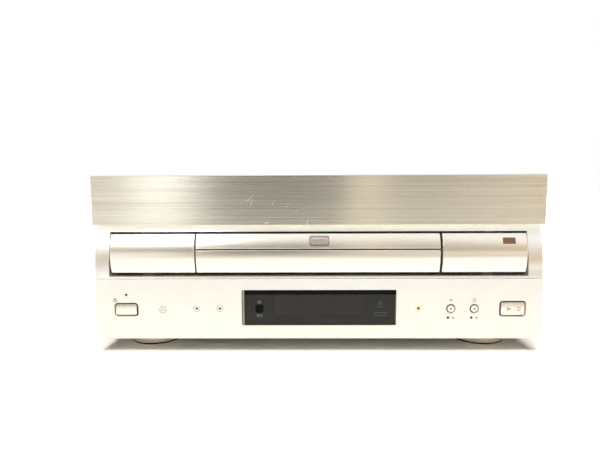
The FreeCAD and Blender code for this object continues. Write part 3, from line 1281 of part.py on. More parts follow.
def main():
    os.makedirs("parts", exist_ok=True)
    node("upper_front_panel", upper_front_panel())
    node("fascia_moulding", fascia_moulding())
    node("lower_front_panel", lower_front_panel())
    node("display_window", display_window())
    node("display_tube", display_tube())
    node("display_board", display_board())
    node("remote_sensor", remote_sensor())
    node("power_button", square_button(*square_buttons()[0]))
    node("play_button", square_button(*square_buttons()[1]))
    node("small_tray_button", round_button(*round_buttons()[0]))
    node("large_tray_button", round_button(*round_buttons()[1]))
    node("indicator_lights", indicator_lights())
    node("tact_switches", tact_switches())
    node("left_switch_board", side_board(-SIDE_BOARD_END, WINDOW_LEFT - SIDE_BOARD_GAP))
    node("right_switch_board", side_board(WINDOW_RIGHT + SIDE_BOARD_GAP, SIDE_BOARD_END))

    node("large_tray", large_tray())
    left_x = -CENTRE_HALF - LEFT_SEAM
    right_x = CENTRE_HALF + RIGHT_SEAM
    node("left_door_face", door_face(-DOOR_HALF, left_x, DOOR_BOTTOM, DOOR_TOP))
    node("right_door_face", door_face(right_x, DOOR_HALF, DOOR_BOTTOM, DOOR_TOP))
    node("lower_door_face", door_face(-CENTRE_HALF, CENTRE_HALF, DOOR_BOTTOM, SPLIT_Z))
    node("small_tray", small_tray())
    node("small_tray_face", door_face(-CENTRE_HALF, CENTRE_HALF, SPLIT_Z + SPLIT_GAP, DOOR_TOP))
    node("badge_plate", badge())

    node("mechanism_chassis", mechanism_chassis())
    node("right_tray_guide", tray_guide())
    node("left_tray_guide", mirror_x(tray_guide()))
    node("drive_gear", drive_gear())
    node("motor_pulley", motor_pulley())
    node("loading_belt", loading_belt())
    node("loading_motor", loading_motor())
    node("pickup_base", pickup_base())
    node("rubber_dampers", dampers())
    node("pickup_shafts", pickup_shafts())
    node("sled_screw", sled_screw())
    node("sled_motor", sled_motor())
    node("pickup_carriage", pickup_carriage())
    node("objective_lens", objective_lens())
    node("spindle_motor", spindle_motor())
    node("turntable", turntable())
    node("clamp_bridge", clamp_bridge())
    node("clamp_pin", clamp_pin())
    node("clamp_arm", clamp_arm())
    node("clamper", clamper())

    side_screws = cover_screws()
    back_screws = rear_screws()
    node("base_chassis", take(base_chassis(), side_screws + back_screws))
    node("top_cover", take(top_cover(), side_screws))
    node("rear_panel", take(rear_panel(), back_screws))
    node("cover_screws", group(side_screws))
    node("rear_screws", group(back_screws))
    node("feet", group([foot(x, y) for x, y in foot_places()]))
    node("foot_pads", group([foot_pad(x, y) for x, y in foot_places()]))
    node("foot_screws", group([foot_screw(x, y) for x, y in foot_places()]))
    node("phono_jacks", group([phono_jack(x, z) for x, z in jack_places()]))
    node("signal_jacks", group([signal_jack(x, z) for x, z in signal_places()] + [optical_jack()]))
    node("mains_inlet", mains_inlet())
    node("main_board", circuit_board(MAIN_X, MAIN_Y))
    node("main_board_chips", chips())
    node("power_board", circuit_board(SUPPLY_X, SUPPLY_Y))
    node("power_capacitors", capacitors())
    node("heat_sink", heat_sink())
    node("power_transformer", transformer())

    for name, shape in nodes.items():
        shape.exportStep("parts/" + name + ".step")
        solids = shape.Solids
        print(name, len(solids), round(sum(s.Volume for s in solids)), shape.isValid())
    print(len(nodes), "nodes")


main()
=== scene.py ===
import json
import math

import bmesh
import bpy
from mathutils import Matrix, Vector
from mathutils.bvhtree import BVHTree


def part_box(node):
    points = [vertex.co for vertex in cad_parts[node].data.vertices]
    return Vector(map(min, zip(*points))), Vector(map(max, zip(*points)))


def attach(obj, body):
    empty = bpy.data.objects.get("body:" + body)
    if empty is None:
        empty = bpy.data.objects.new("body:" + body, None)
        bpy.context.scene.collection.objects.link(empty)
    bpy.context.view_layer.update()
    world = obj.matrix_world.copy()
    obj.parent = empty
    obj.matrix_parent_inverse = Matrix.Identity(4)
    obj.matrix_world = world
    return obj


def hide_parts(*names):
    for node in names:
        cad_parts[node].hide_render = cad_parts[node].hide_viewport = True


# Finishes, small marks, fasteners and studio for the disc player. Metres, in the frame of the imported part:
# +X to the right of somebody facing the front, -Y the front, +Z up.

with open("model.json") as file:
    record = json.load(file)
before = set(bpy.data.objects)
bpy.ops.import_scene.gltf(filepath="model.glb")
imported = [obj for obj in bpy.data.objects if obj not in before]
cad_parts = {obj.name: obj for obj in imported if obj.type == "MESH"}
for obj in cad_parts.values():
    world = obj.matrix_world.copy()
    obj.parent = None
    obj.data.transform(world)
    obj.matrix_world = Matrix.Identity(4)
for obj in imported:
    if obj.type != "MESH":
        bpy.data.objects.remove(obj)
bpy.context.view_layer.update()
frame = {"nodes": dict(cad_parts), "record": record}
NODES = frame["nodes"]
SLOT_OF = {part["node"]: part["material_slot"] for part in frame["record"]["subparts"]}
MM = 0.001


def mm(*lengths):
    """Millimetres as metres."""
    return tuple(length * MM for length in lengths)


# Camera, as measured from the picture's straight edges
EYE = Vector((-0.01157, -0.65193, 0.16514))
LENS_MM = 29.17
FILM_MM = 36.0
CLIP_START = 0.01
YAW = math.radians(-0.63)
PITCH = math.radians(-5.495)
ROLL = math.radians(-0.225)

# Printing and trim
INK_THICK = 0.06 * MM
ROUND_STEPS = 48
FRONT = -1
REAR = 1
WELD = 1e-6
SHARP_ANGLE = math.radians(35)
BUTTON_SEEN = 1.0 * MM  # how much of a button's depth counts as its face

# Signs on the lower panel. A ring is given by its outer and inner radius, a bar by its left, right, low and
# high edge from the sign's place.
POWER_SIGN_IN, POWER_SIGN_UP = mm(0.85, 2.3)  # from the power button's left edge and top
POWER_RING = mm(1.8, 1.2)
POWER_BAR = mm(-0.28, 0.28, 0.0, 2.1)
DISC_SIGN_IN, DISC_SIGN_UP = mm(63.5, 28.2)  # from the panel's left and lower edge
DISC_RIM, DISC_HUB = mm(3.5, 2.7), mm(1.4, 0.6)

# Round the tray buttons, from their middles
TRAY_LIGHT_X, TRAY_LIGHT_Z, TRAY_LIGHT_R = mm(-2.45, -8.7, 1.15)
TRAY_TRIANGLE = (mm(1.1, -9.6), mm(3.5, -9.6), mm(2.3, -7.6))
TRAY_SIGN_UP = 8.1 * MM
TRAY_SIGN_R = mm(1.2, 1.7)  # for the small tray and the large one
TRAY_SIGN_LINE, TRAY_SIGN_DOT = mm(0.4, 0.35)
EJECT_DROP, EJECT_HALF = mm(0.3, 1.3)
EJECT_TIP = 1.1  # height of the triangle, from its half width
EJECT_BAR_FROM, EJECT_BAR_TO = 0.6, 0.25  # how far the bar's edges lie below it

# On the play button, from its middle
PLAY_SIGN_H = 3.4 * MM
PLAY_FROM, PLAY_TO = mm(-5.5, -0.9)
PLAY_HOLLOW = 0.4
SLASH_FROM, SLASH_TO, SLASH_W = mm(0.1, 1.7, 0.6)
PAUSE_FROM = mm(3.6, 5.7)
PAUSE_W, PAUSE_LINE, PAUSE_CORNER = mm(1.6, 0.5, 0.1)

# The window: painted light and shade on its edges, the lit area and the faint marks behind it
PANE_MARGIN, PANE_CORNER = mm(0.05, 1.2)  # the edges keep this far inside the window
PANE_RIM, PANE_LEFT, PANE_TOP, PANE_BOTTOM, PANE_RIGHT = mm(0.6, 2.2, 4.2, 1.2, 0.9)
AREA = mm(8.5, -6.9, 5.25, -3.15)  # its edges, from those of the display tube
HOOD_CORNER = 1.6 * MM
OVER_SENSOR = (mm(-1.6, 1.6, 0.7, 3.6),)
UNDER_SENSOR = (mm(-2.6, -0.2, -4.0, -1.2), mm(0.8, 2.4, -4.0, -1.2))
STATUS_IN, STATUS_DOWN = mm(14.95, 12.7)  # from the window's right edge and top
STATUS_RING, STATUS_DOT = mm(1.9, 1.5), 0.5 * MM
STATUS_LINE = mm(-3.6, 3.6, -3.6, -3.2)
STATUS_FRAME = mm(-6.4, 6.4, -12.0, -8.6)
STATUS_CORNER, STATUS_FRAME_W = mm(1.6, 0.4)

# Plates
BADGE_MARGIN, BADGE_CORNER, BADGE_RIM_W, BADGE_INNER_CORNER = mm(0.1, 1.9, 0.8, 1.3)
BADGE_RIM_THICK = 0.1 * MM
FIELD_SIDE, FIELD_END, FIELD_CORNER, FIELD_LINE, FIELD_INNER_CORNER = mm(2.6, 2.2, 0.8, 0.4, 0.5)
WING_PLATE = mm(-22.6, -11.0, -9.6, -3.9)  # its edges, from the right door's upper right corner
WING_PLATE_THICK = 0.3 * MM
WING_CELLS = (4, 8)

# Scratches, in millimetres: where each starts from the panel's lower left corner, and its run and rise
SCRATCHES = ((144.0, 22.3, 7.0, 5.8), (147.8, 18.3, 2.0, 5.0), (181.0, 15.8, 2.2, 3.6),
             (161.0, 1.5, 4.4, 1.4), (167.6, 18.8, 3.4, 4.4), (368.8, 7.5, 3.6, 2.9),
             (200.0, 0.8, 1.0, 6.0), (189.0, 11.8, 3.0, 3.0), (298.0, 43.8, 0.8, 0.8))
SCRATCH_HALF, SCRATCH_THICK = mm(0.26, 0.02)
SCRATCH_TAPER = 3  # its start is this much wider than its end

# Painted shade round the buttons: dark layers in the open rings and brown rims at the openings, from the
# edges of their faces
SQUARE_CORNER = 1.5 * MM
ROUND_LIMIT = 8.0 * MM  # buttons lower than this are round
ROUND_OPENING, SQUARE_OPENING = mm(0.85, 1.25)
CORNER_EASE = 0.01 * MM
CORNER_STEPS = 12
SHADE_FIT, SHADE_REACH, SHADE_THICK = mm(0.2, 1.9, 0.3)
SHADE_RIM_W = 0.25 * MM

# Indicator lights: radii, and the turned bezel's heights from the panel's face. The lens's dark rim is
# painted shade.
LENS_HOLE, LENS_SHADE_W = mm(1.2, 0.1)
BEZEL_HOLE, BEZEL_R = mm(1.25, 2.65)
BEZEL_SUNK, BEZEL_LIP, BEZEL_TOP, BEZEL_FALL, BEZEL_SIDE = mm(-1.4, -0.3, 0.1, -0.15, -0.5)
BEZEL_SLOPE, BEZEL_CROWN, BEZEL_ROUND, BEZEL_WALL = mm(0.2, 0.5, 0.1, 0.4)  # widths from the hole or the rim
PAINTED_LIGHT_EDGE = mm(0.4, 0.15)  # how far the painted shade round its edge reaches outside the bezel; on the last light this ring is painted glow

# Jacks
SLEEVE_R, SLEEVE_BORE, JACK_BORE, COLLAR_R = mm(4.15, 3.5, 1.6, 4.9)
SLEEVE_SUNK, COLLAR_SUNK, CORE_SUNK = mm(2.0, 1.0, 1.5)  # how far each starts inside the rear panel
SLEEVE_EDGE, COLLAR_EDGE = mm(0.3, 0.4), mm(0.4, 0.3)  # width and height of the cut edge
COLLAR_H, CORE_DROP, JACK_FIT = mm(1.1, 1.2, 0.1)
JACK_STEP = 16.0 * MM
OPTICAL_W = 13.0 * MM  # the optical socket's share of the row, at its right end
PIN_HOLES = (mm(-1.5, 0.9), mm(1.5, 0.9), mm(-0.9, -1.1), mm(0.9, -1.1))
PIN_R = 0.45 * MM
PIN_STEPS = 16
SOCKET_KEY = mm(-0.9, 0.9, -2.6, -2.0)

# Screws
SHANK_L, SHANK_R = mm(6.0, 1.5)
SCREW_STEPS = 32
DOME_POINTS, DOME_STEP = 8, math.radians(11)
DOME_DROP, DOME_FOOT = 0.8, 0.75  # from the head's height
CROSS_SLOT = 0.24  # width of a recess's arms, from the head's radius
CROSS_REACH = 0.62  # reach of its arms
CROSS_DEPTH = 0.7  # depth, from the head's height

# Shader constants: colour sockets of a Mix node, and spans of noise over which a finish changes
MIX_SHARE, MIX_FIRST, MIX_SECOND, MIX_RESULT = 0, 6, 7, 2
WHITE = (1.0, 1.0, 1.0, 1.0)
SOFT, FIRM, CRISP = (0.3, 0.7), (0.35, 0.65), (0.4, 0.6)
FLAKES, SMEARS, TRACKS = (0.1, 0.8), (0.35, 0.7), (0.5, 0.52)
SMOKE_LOW, SMOKE_HIGH = (0.002, 0.0024, 0.002, 1.0), (0.005, 0.0052, 0.0045, 1.0)


def colour(red, green, blue):
    """A shader's linear colour from the 0 to 255 values of a paint chip."""
    linear = []
    for level in (red, green, blue):
        share = level / 255
        linear.append(share / 12.92 if share <= 0.04045 else ((share + 0.055) / 1.055) ** 2.4)
    return (*linear, 1.0)


# ---- Finishes


def feed(tree, socket, value):
    """Links a socket to another one, or gives it a plain value."""
    if isinstance(value, bpy.types.NodeSocket):
        tree.links.new(value, socket)
    else:
        socket.default_value = value


def wired(tree, kind, inputs, output=0, **settings):
    """An output of a new shader node; inputs go by name or number."""
    node = tree.nodes.new("ShaderNode" + kind)
    for name, value in settings.items():
        setattr(node, name, value)
    for name, value in inputs.items():
        feed(tree, node.inputs[name], value)
    return node.outputs[output]


def blended(tree, share, first, second):
    """A colour between two, each a socket or four numbers."""
    inputs = {MIX_SHARE: share, MIX_FIRST: first, MIX_SECOND: second}
    return wired(tree, "Mix", inputs, MIX_RESULT, data_type="RGBA")


class Finish:
    """A material whose Principled shader is fed by texture nodes."""

    def __init__(self, name, **values):
        self.material = bpy.data.materials.new(name)
        self.material.use_nodes = True
        self.tree = self.material.node_tree
        self.place = wired(self.tree, "TexCoord", {}, "Object")
        for name, value in values.items():
            self.paint(name.replace("_", " "), value)

    def paint(self, name, value):
        """Feeds a socket of the shader."""
        feed(self.tree, self.tree.nodes["Principled BSDF"].inputs[name], value)

    def scaled(self, size, stretch=(1, 1, 1)):
        """The place in units of size metres, longer by stretch along each axis."""
        scale = [1 / (size * longer) for longer in stretch]
        return wired(self.tree, "Mapping", {"Vector": self.place, "Scale": scale})

    def noise(self, size, stretch=(1, 1, 1), detail=3.0, rough=0.5):
        """Noise with patches about size metres across."""
        inputs = {"Vector": self.scaled(size, stretch), "Scale": 1.0, "Detail": detail, "Roughness": rough}
        return wired(self.tree, "TexNoise", inputs)

    def cells(self, size):
        """A random level for each grain about size metres across."""
        return wired(self.tree, "TexVoronoi", {"Vector": self.scaled(size), "Scale": 1.0}, "Distance")

    def spread(self, value, span, levels=(0.0, 1.0)):
        """The first level where value is at or below the span, the second at or above it."""
        names = ("Value", "From Min", "From Max", "To Min", "To Max")
        return wired(self.tree, "MapRange", dict(zip(names, (value, *span, *levels))))

    def mix(self, share, first, second):
        return blended(self.tree, share, first, second)

    def roughen(self, noise, span, *levels):
        """Roughness from one level to another over a span of noise."""
        self.paint("Roughness", self.spread(noise, span, levels))

    def bump(self, height, depth):
        """Relief, depth metres high where height goes from 0 to 1."""
        self.paint("Normal", wired(self.tree, "Bump", {"Distance": depth, "Height": height}))


def brushed_panel():
    """Anodised aluminium, brushed from side to side."""
    panel = Finish("brushed_aluminium", Metallic=1.0, Anisotropic=0.95, Anisotropic_Rotation=0.25)
    panel.paint("Tangent", wired(panel.tree, "Tangent", {}, direction_type="RADIAL", axis="Z"))
    fine = panel.noise(0.3 * MM, stretch=(600, 1, 1), detail=2.0, rough=0.6)
    coarse = panel.noise(0.5 * MM, stretch=(400, 1, 1), detail=1.0)
    hairs = panel.spread(fine, FIRM)
    base = panel.mix(hairs, colour(230, 226, 213), colour(245, 242, 232))
    shade = panel.spread(coarse, FIRM, (0.0, 0.4))
    panel.paint("Base Color", panel.mix(shade, base, colour(218, 213, 200)))
    panel.roughen(fine, SOFT, 0.22, 0.28)
    panel.bump(hairs, 0.002 * MM)
    return panel


def painted(name, low, high, roughness=0.42, metallic=0.25, flake=0.16, grain=0.006):
    """Metallic paint: two close chips in soft patches, with fine flake."""
    paint = Finish(name, Metallic=metallic)
    patches = paint.noise(26 * MM, detail=2.0)
    flakes = paint.cells(flake * MM)
    base = paint.mix(paint.spread(patches, SOFT), colour(*low), colour(*high))
    paint.paint("Base Color", paint.mix(paint.spread(flakes, FLAKES, (0.12, 0.0)), base, WHITE))
    paint.roughen(flakes, FLAKES, roughness - 0.05, roughness + 0.05)
    paint.bump(paint.noise(flake * MM, detail=2.0), grain * MM)
    return paint


def pearl_door():
    """Pearl lacquer under a thin clear coat."""
    door = Finish("pearl_lacquer", Metallic=0.82, Coat_Weight=0.25, Coat_Roughness=0.12)
    patches = door.noise(40 * MM, stretch=(3, 1, 1), detail=2.0)
    flakes = door.cells(0.12 * MM)
    base = door.mix(door.spread(patches, SOFT), colour(247, 240, 226), colour(251, 245, 233))
    door.paint("Base Color", door.mix(door.spread(flakes, FLAKES, (0.15, 0.0)), base, WHITE))
    door.roughen(flakes, FLAKES, 0.19, 0.26)
    door.bump(door.noise(0.15 * MM, detail=2.0), 0.004 * MM)
    return door


def moulded(name, low, high, roughness=0.5, grain_size=0.5, grain=0.02, **values):
    """Moulded plastic, rubber or ink: two close chips in soft patches, with a spark-eroded grain."""
    plastic = Finish(name, **values)
    grain_noise = plastic.noise(grain_size * MM)
    patches = plastic.noise(18 * MM, detail=2.0)
    plastic.paint("Base Color", plastic.mix(plastic.spread(patches, SOFT), colour(*low), colour(*high)))
    plastic.roughen(grain_noise, SOFT, roughness - 0.06, roughness + 0.06)
    plastic.bump(grain_noise, grain * MM)
    return plastic


def metal(name, low, high, roughness=0.35, spangle=5.0, stretch=(1, 1, 1), grain=0.01):
    """Bare or plated metal with spangle or rolling marks between two chips."""
    sheet = Finish(name, Metallic=1.0)
    marks = sheet.noise(spangle * MM, stretch, rough=0.6)
    fine = sheet.noise(0.4 * MM, stretch, detail=2.0)
    sheet.paint("Base Color", sheet.mix(sheet.spread(marks, FIRM), colour(*low), colour(*high)))
    sheet.roughen(marks, SOFT, roughness - 0.07, roughness + 0.09)
    sheet.bump(fine, grain * MM)
    return sheet


def turned(name, low, high, roughness=0.25):
    """Turned metal with fine marks."""
    return metal(name, low, high, roughness, spangle=0.6, grain=0.004)


def smoked_window():
    """Dark acrylic that shows little of what is behind it."""
    window = Finish("smoked_acrylic", Alpha=0.7, IOR=1.49)
    haze = window.noise(30 * MM, stretch=(2, 1, 1), detail=2.0)
    smears = window.noise(7 * MM, stretch=(3, 1, 1))
    window.paint("Base Color", window.mix(window.spread(haze, SOFT), SMOKE_LOW, SMOKE_HIGH))
    window.roughen(smears, SMEARS, 0.05, 0.11)
    return window


def tube_glass():
    """Grey-violet glass with a fine mesh of unlit segments."""
    tube = Finish("tube_glass", Coat_Weight=0.5)
    mesh = tube.noise(0.9 * MM, stretch=(1, 1, 1.6), detail=2.0)
    tube.paint("Base Color", tube.mix(tube.spread(mesh, CRISP), colour(84, 82, 82), colour(94, 92, 92)))
    tube.roughen(mesh, CRISP, 0.2, 0.3)
    return tube


def circuit_board():
    """Green-brown laminate with tracks under the solder mask."""
    board = Finish("circuit_board", Coat_Weight=0.2, Coat_Roughness=0.2)
    tracks = board.noise(3 * MM, stretch=(4, 1, 1), detail=1.0)
    weave = board.noise(0.6 * MM, detail=1.0)
    track = board.spread(tracks, TRACKS)
    board.paint("Base Color", board.mix(track, colour(66, 84, 44), colour(92, 112, 60)))
    board.roughen(weave, SOFT, 0.35, 0.5)
    board.bump(track, 0.03 * MM)
    return board


def lamp_lens():
    """Clear amber-smoked lens of an unlit indicator."""
    lens = Finish("lamp_lens", Coat_Weight=0.6, Coat_Roughness=0.1)
    core = lens.noise(1.2 * MM, detail=1.0)
    lens.paint("Base Color", lens.mix(lens.spread(core, CRISP), colour(26, 23, 20), colour(38, 33, 29)))
    lens.roughen(core, CRISP, 0.2, 0.32)
    return lens


# The finish of each material slot. After its name come two colour chips, the roughness and what else its
# function asks for, with sizes in millimetres.
FINISHES = {
    "brushed_panel": brushed_panel(),
    "silver_moulding": painted("moulding_paint", (251, 249, 243), (254, 252, 247), 0.17, 0.7),
    "silver_panel": painted("panel_paint", (248, 246, 236), (251, 249, 241), 0.4, 0.3),
    "pearl_door": pearl_door(),
    "smoked_window": smoked_window(),
    "tube_glass": tube_glass(),
    "silver_button": painted("button_paint", (244, 234, 219), (249, 240, 227), 0.2, 0.8, 0.12),
    "lamp_lens": lamp_lens(),
    "circuit_board": circuit_board(),
    "black_component": moulded("component_black", (30, 30, 31), (38, 38, 39), 0.45, 0.3, 0.01),
    "tray_plastic": moulded("tray_grey", (58, 58, 60), (66, 66, 68), 0.5, 0.6, 0.03),
    "badge_plate": metal("badge_silver", (188, 178, 170), (204, 195, 188), 0.32, 2.0, (6, 1, 1)),
    "zinc_steel": metal("zinc_plate", (176, 176, 172), (196, 196, 190), 0.36, 6.0),
    "guide_plastic": moulded("guide_acetal", (228, 226, 216), (236, 234, 226), 0.42, 0.8, 0.01),
    "gear_plastic": moulded("gear_acetal", (236, 233, 222), (243, 241, 232), 0.38, 0.8, 0.01),
    "belt_rubber": moulded("belt_rubber", (24, 24, 24), (32, 32, 32), 0.62, 0.4, 0.02),
    "motor_can": metal("motor_can", (182, 180, 172), (200, 198, 190), 0.28, 4.0, (1, 1, 6)),
    "pickup_casting": metal("die_cast", (150, 150, 150), (168, 168, 166), 0.5, 1.6, grain=0.05),
    "damper_rubber": moulded("damper_rubber", (30, 30, 32), (38, 38, 40), 0.7, 0.5, 0.03),
    "polished_shaft": turned("polished_shaft", (206, 206, 204), (222, 222, 220), 0.14),
    "lens_glass": moulded("lens_glass", (70, 84, 110), (88, 100, 128), 0.1, 2.0, 0.0, Coat_Weight=1.0),
    "turntable_plastic": moulded("turntable_black", (36, 36, 38), (44, 44, 46), 0.4, 0.5, 0.02),
    "chassis_steel": metal("galvanised", (128, 128, 125), (146, 146, 141), 0.45, 8.0),
    "cover_paint": painted("cover_paint", (206, 199, 184), (212, 205, 191), 0.55, 0.2, 0.4, 0.03),
    "rear_paint": painted("rear_paint", (52, 52, 54), (58, 58, 60), 0.5, 0.1, 0.4, 0.03),
    "screw_steel": turned("screw_steel", (150, 146, 138), (172, 168, 160), 0.3),
    "foot_finish": painted("foot_paint", (216, 203, 180), (222, 210, 188), 0.36, 0.6, 0.16),
    "pad_rubber": moulded("pad_rubber", (22, 22, 23), (30, 30, 31), 0.75, 0.5, 0.03),
    "jack_metal": turned("jack_plate", (214, 206, 188), (228, 221, 206), 0.22),
    "socket_plastic": moulded("socket_black", (26, 26, 27), (34, 34, 35), 0.42, 0.4, 0.015),
    "heat_sink": metal("heat_sink", (150, 151, 154), (170, 171, 174), 0.38, 1.5, (1, 1, 10)),
    "capacitor_sleeve": moulded("capacitor_sleeve", (34, 42, 70), (40, 50, 82), 0.32, 3.0, 0.01),
    "transformer_core": metal("laminated_core", (112, 108, 102), (132, 128, 122), 0.5, 0.5, (40, 40, 1)),
}
INK = moulded("brown_ink", (126, 106, 86), (136, 116, 96), 0.6, 0.3, 0.0)
PALE_INK = moulded("pale_ink", (210, 198, 174), (217, 206, 184), 0.6, 0.3, 0.0)
# Grey ink for print, also painted shade round the indicator bezels
GREY_INK_AND_SHADE = moulded("grey_ink_and_painted_shade", (112, 100, 84), (124, 111, 94), 0.6, 0.3, 0.0)
# Black ink for print, also painted shade at the indicator lenses
BLACK_INK_AND_SHADE = moulded("black_ink_and_painted_shade", (12, 10, 7), (18, 15, 11), 0.6, 0.3, 0.0, Specular_IOR_Level=0.1)
WINDOW_INK = moulded("window_ink", (92, 92, 88), (102, 102, 98), 0.6, 0.3, 0.0)
# Painted shade in the gaps round the buttons
PAINTED_SHADE_SHROUD = moulded("shroud_black", (34, 20, 8), (40, 25, 11), 0.7, 0.4, 0.01, Specular_IOR_Level=0.1)
BEZEL = moulded("bezel_paint", (250, 247, 240), (254, 252, 247), 0.3, 0.8, 0.0)
# Painted glow of the lit indicator light
PAINTED_GLOW_RING = moulded("painted_lamp_glow", (255, 238, 160), (255, 243, 184), 0.35, 0.4, 0.0, Coat_Weight=0.4)
# Painted light and shade for the window's edges: a painted highlight, a painted shadow whose black also
# serves the sensor hood, and painted shade in brown and grey.
PAINTED_EDGE_HIGHLIGHT = moulded("painted_edge_highlight", (150, 150, 138), (166, 166, 154), 0.4, 2.0, 0.0)
PAINTED_SHADOW_AND_HOOD_BLACK = moulded("painted_shadow_and_hood_black", (8, 8, 5), (14, 13, 9), 0.5, 2.0, 0.0, Specular_IOR_Level=0.08)
PAINTED_EDGE_SHADE_BROWN = moulded("painted_edge_shade_brown", (52, 42, 32), (62, 52, 40), 0.5, 2.0, 0.0, Specular_IOR_Level=0.1)
PAINTED_EDGE_SHADE_GREY = moulded("painted_edge_shade_grey", (96, 94, 84), (110, 108, 98), 0.4, 2.0, 0.0)
AREA_FINISH = moulded("phosphor_violet", (215, 158, 176), (225, 168, 186), 0.5, 0.9, 0.01)
BADGE_RIM = metal("badge_rim", (150, 138, 132), (164, 152, 146), 0.3, 2.0)
BADGE_LINE = metal("badge_line", (226, 220, 216), (236, 230, 226), 0.3, 2.0)
WING_BROWN = moulded("plate_brown", (104, 76, 56), (114, 86, 64), 0.5, 0.3, 0.0)
PIN_BRASS = metal("pin_brass", (212, 184, 116), (224, 198, 132), 0.25, 0.6)
SCRATCH_METAL = moulded("scratch_metal", (248, 244, 234), (252, 249, 240), 0.4, 0.4, 0.0)
# Painted shade at the edges of the button openings
PAINTED_RIM_SHADE = moulded("painted_rim_shade_brown", (66, 44, 24), (74, 51, 29), 0.6, 0.3, 0.0, Specular_IOR_Level=0.1)
COLLAR_FINISHES = (moulded("collar_yellow", (226, 190, 60), (234, 200, 76), 0.4, 0.4, 0.01),
                   moulded("collar_white", (226, 224, 216), (234, 232, 226), 0.4, 0.4, 0.01),
                   moulded("collar_red", (176, 38, 34), (188, 48, 42), 0.4, 0.4, 0.01))


def dress_frame():
    """Gives each node of the part its slot's finish."""
    for name, node in NODES.items():
        node.data.materials.clear()
        node.data.materials.append(FINISHES[SLOT_OF[name]].material)


# ---- Mesh helpers


def in_scene(name, data):
    """A new object in the scene."""
    thing = bpy.data.objects.new(name, data)
    bpy.context.scene.collection.objects.link(thing)
    return thing


def add_object(name, mesh, finish, body):
    """A piece with its finish, on its material slot and its body."""
    mesh.materials.append(finish.material)
    piece = in_scene(name, mesh)
    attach(piece, body)
    return piece


def surface_of(node, facing=FRONT):
    """A function that gives the depth of a node's front, or of its back, at a place on it."""
    mesh = NODES[node].data
    tree = BVHTree.FromPolygons([v.co for v in mesh.vertices], [p.vertices for p in mesh.polygons])

    def depth(x, z):
        return tree.ray_cast(Vector((x, facing, z)), Vector((0, -facing, 0)))[0].y

    return depth


def ring(x, z, outer, inner):
    """Cells of a flat ring, as outlines of (x, z) points."""
    return band(*(disc(x, z, radius)[0] for radius in (outer, inner)))


def disc(x, z, radius, steps=ROUND_STEPS):
    """The one cell of a round mark."""
    angles = [math.tau * i / steps for i in range(steps)]
    return [[(x + radius * math.cos(angle), z + radius * math.sin(angle)) for angle in angles]]


def patch(x0, x1, z0, z1, across=1, up=1):
    """Cells of a rectangle, divided so that it can follow a curved front."""
    cells = []
    for i in range(across):
        for k in range(up):
            left, right = x0 + (x1 - x0) * i / across, x0 + (x1 - x0) * (i + 1) / across
            low, high = z0 + (z1 - z0) * k / up, z0 + (z1 - z0) * (k + 1) / up
            cells.append([(left, low), (right, low), (right, high), (left, high)])
    return cells


def edges_from(x, z, edges):
    """Edges that are given from a place, as edges in the frame."""
    left, right, low, high = edges
    return x + left, x + right, z + low, z + high


def bars_at(x, z, *bars):
    """Cells of small rectangles, given by their edges from a place."""
    return [patch(*edges_from(x, z, bar))[0] for bar in bars]


def edges_of(node):
    """Left, right, bottom and top edge of a node seen from the front."""
    low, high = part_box(node)
    return low.x, high.x, low.z, high.z


def inset(edges, by):
    """Edges drawn in on all sides, or drawn out where by is negative."""
    left, right, low, high = edges
    return left + by, right - by, low + by, high - by


def middle_of(edges):
    """The place in the middle of four edges."""
    left, right, low, high = edges
    return (left + right) / 2, (low + high) / 2


def rounded(x0, x1, z0, z1, radius, steps=6):
    """Outline of a rectangle with round corners."""
    points = []
    for i, (x, z) in enumerate(((x1 - radius, z1 - radius), (x0 + radius, z1 - radius),
                                (x0 + radius, z0 + radius), (x1 - radius, z0 + radius))):
        for k in range(steps + 1):
            angle = math.radians(90 * (i + k / steps))
            points.append((x + radius * math.cos(angle), z + radius * math.sin(angle)))
    return points


def band(outer, inner):
    """Cells between two outlines with as many points."""
    cells = []
    for i in range(len(outer)):
        k = (i + 1) % len(outer)
        cells.append([outer[i], outer[k], inner[k], inner[i]])
    return cells


def shrunk(points, share):
    """An outline drawn in towards its middle."""
    x = sum(p[0] for p in points) / len(points)
    z = sum(p[1] for p in points) / len(points)
    return [(x + (px - x) * share, z + (pz - z) * share) for px, pz in points]


def clipped(points, x0, x1, z0, z1):
    """The part of a convex outline inside an upright rectangle."""
    for axis, bound, side in ((0, x0, 1), (0, x1, -1), (1, z0, 1), (1, z1, -1)):
        kept = []
        for i, here in enumerate(points):
            last = points[i - 1]
            inside, was_inside = side * (here[axis] - bound) >= 0, side * (last[axis] - bound) >= 0
            if inside != was_inside:
                share = (bound - last[axis]) / (here[axis] - last[axis])
                kept.append((last[0] + share * (here[0] - last[0]), last[1] + share * (here[1] - last[1])))
            if inside:
                kept.append(here)
        points = kept
    return points


def mesh_from(form, name):
    """Turns a form into a mesh whose faces point outwards."""
    bmesh.ops.remove_doubles(form, verts=form.verts, dist=WELD)
    bmesh.ops.recalc_face_normals(form, faces=form.faces)
    mesh = bpy.data.meshes.new(name)
    form.to_mesh(mesh)
    form.free()
    return mesh


def laid_on(name, node, cells, finish, body, thick=INK_THICK, facing=FRONT, level=None):
    """A thin closed layer on the front or back of a node, following its surface, or flat at a level."""
    depth = surface_of(node, facing) if level is None else lambda x, z: level
    form = bmesh.new()
    for cell in cells:
        form.faces.new([form.verts.new((x, depth(x, z), z)) for x, z in cell])
    piece = add_object(name, mesh_from(form, name), finish, body)
    layer = piece.modifiers.new("layer", "SOLIDIFY")
    layer.thickness = thick
    layer.offset = 0.0


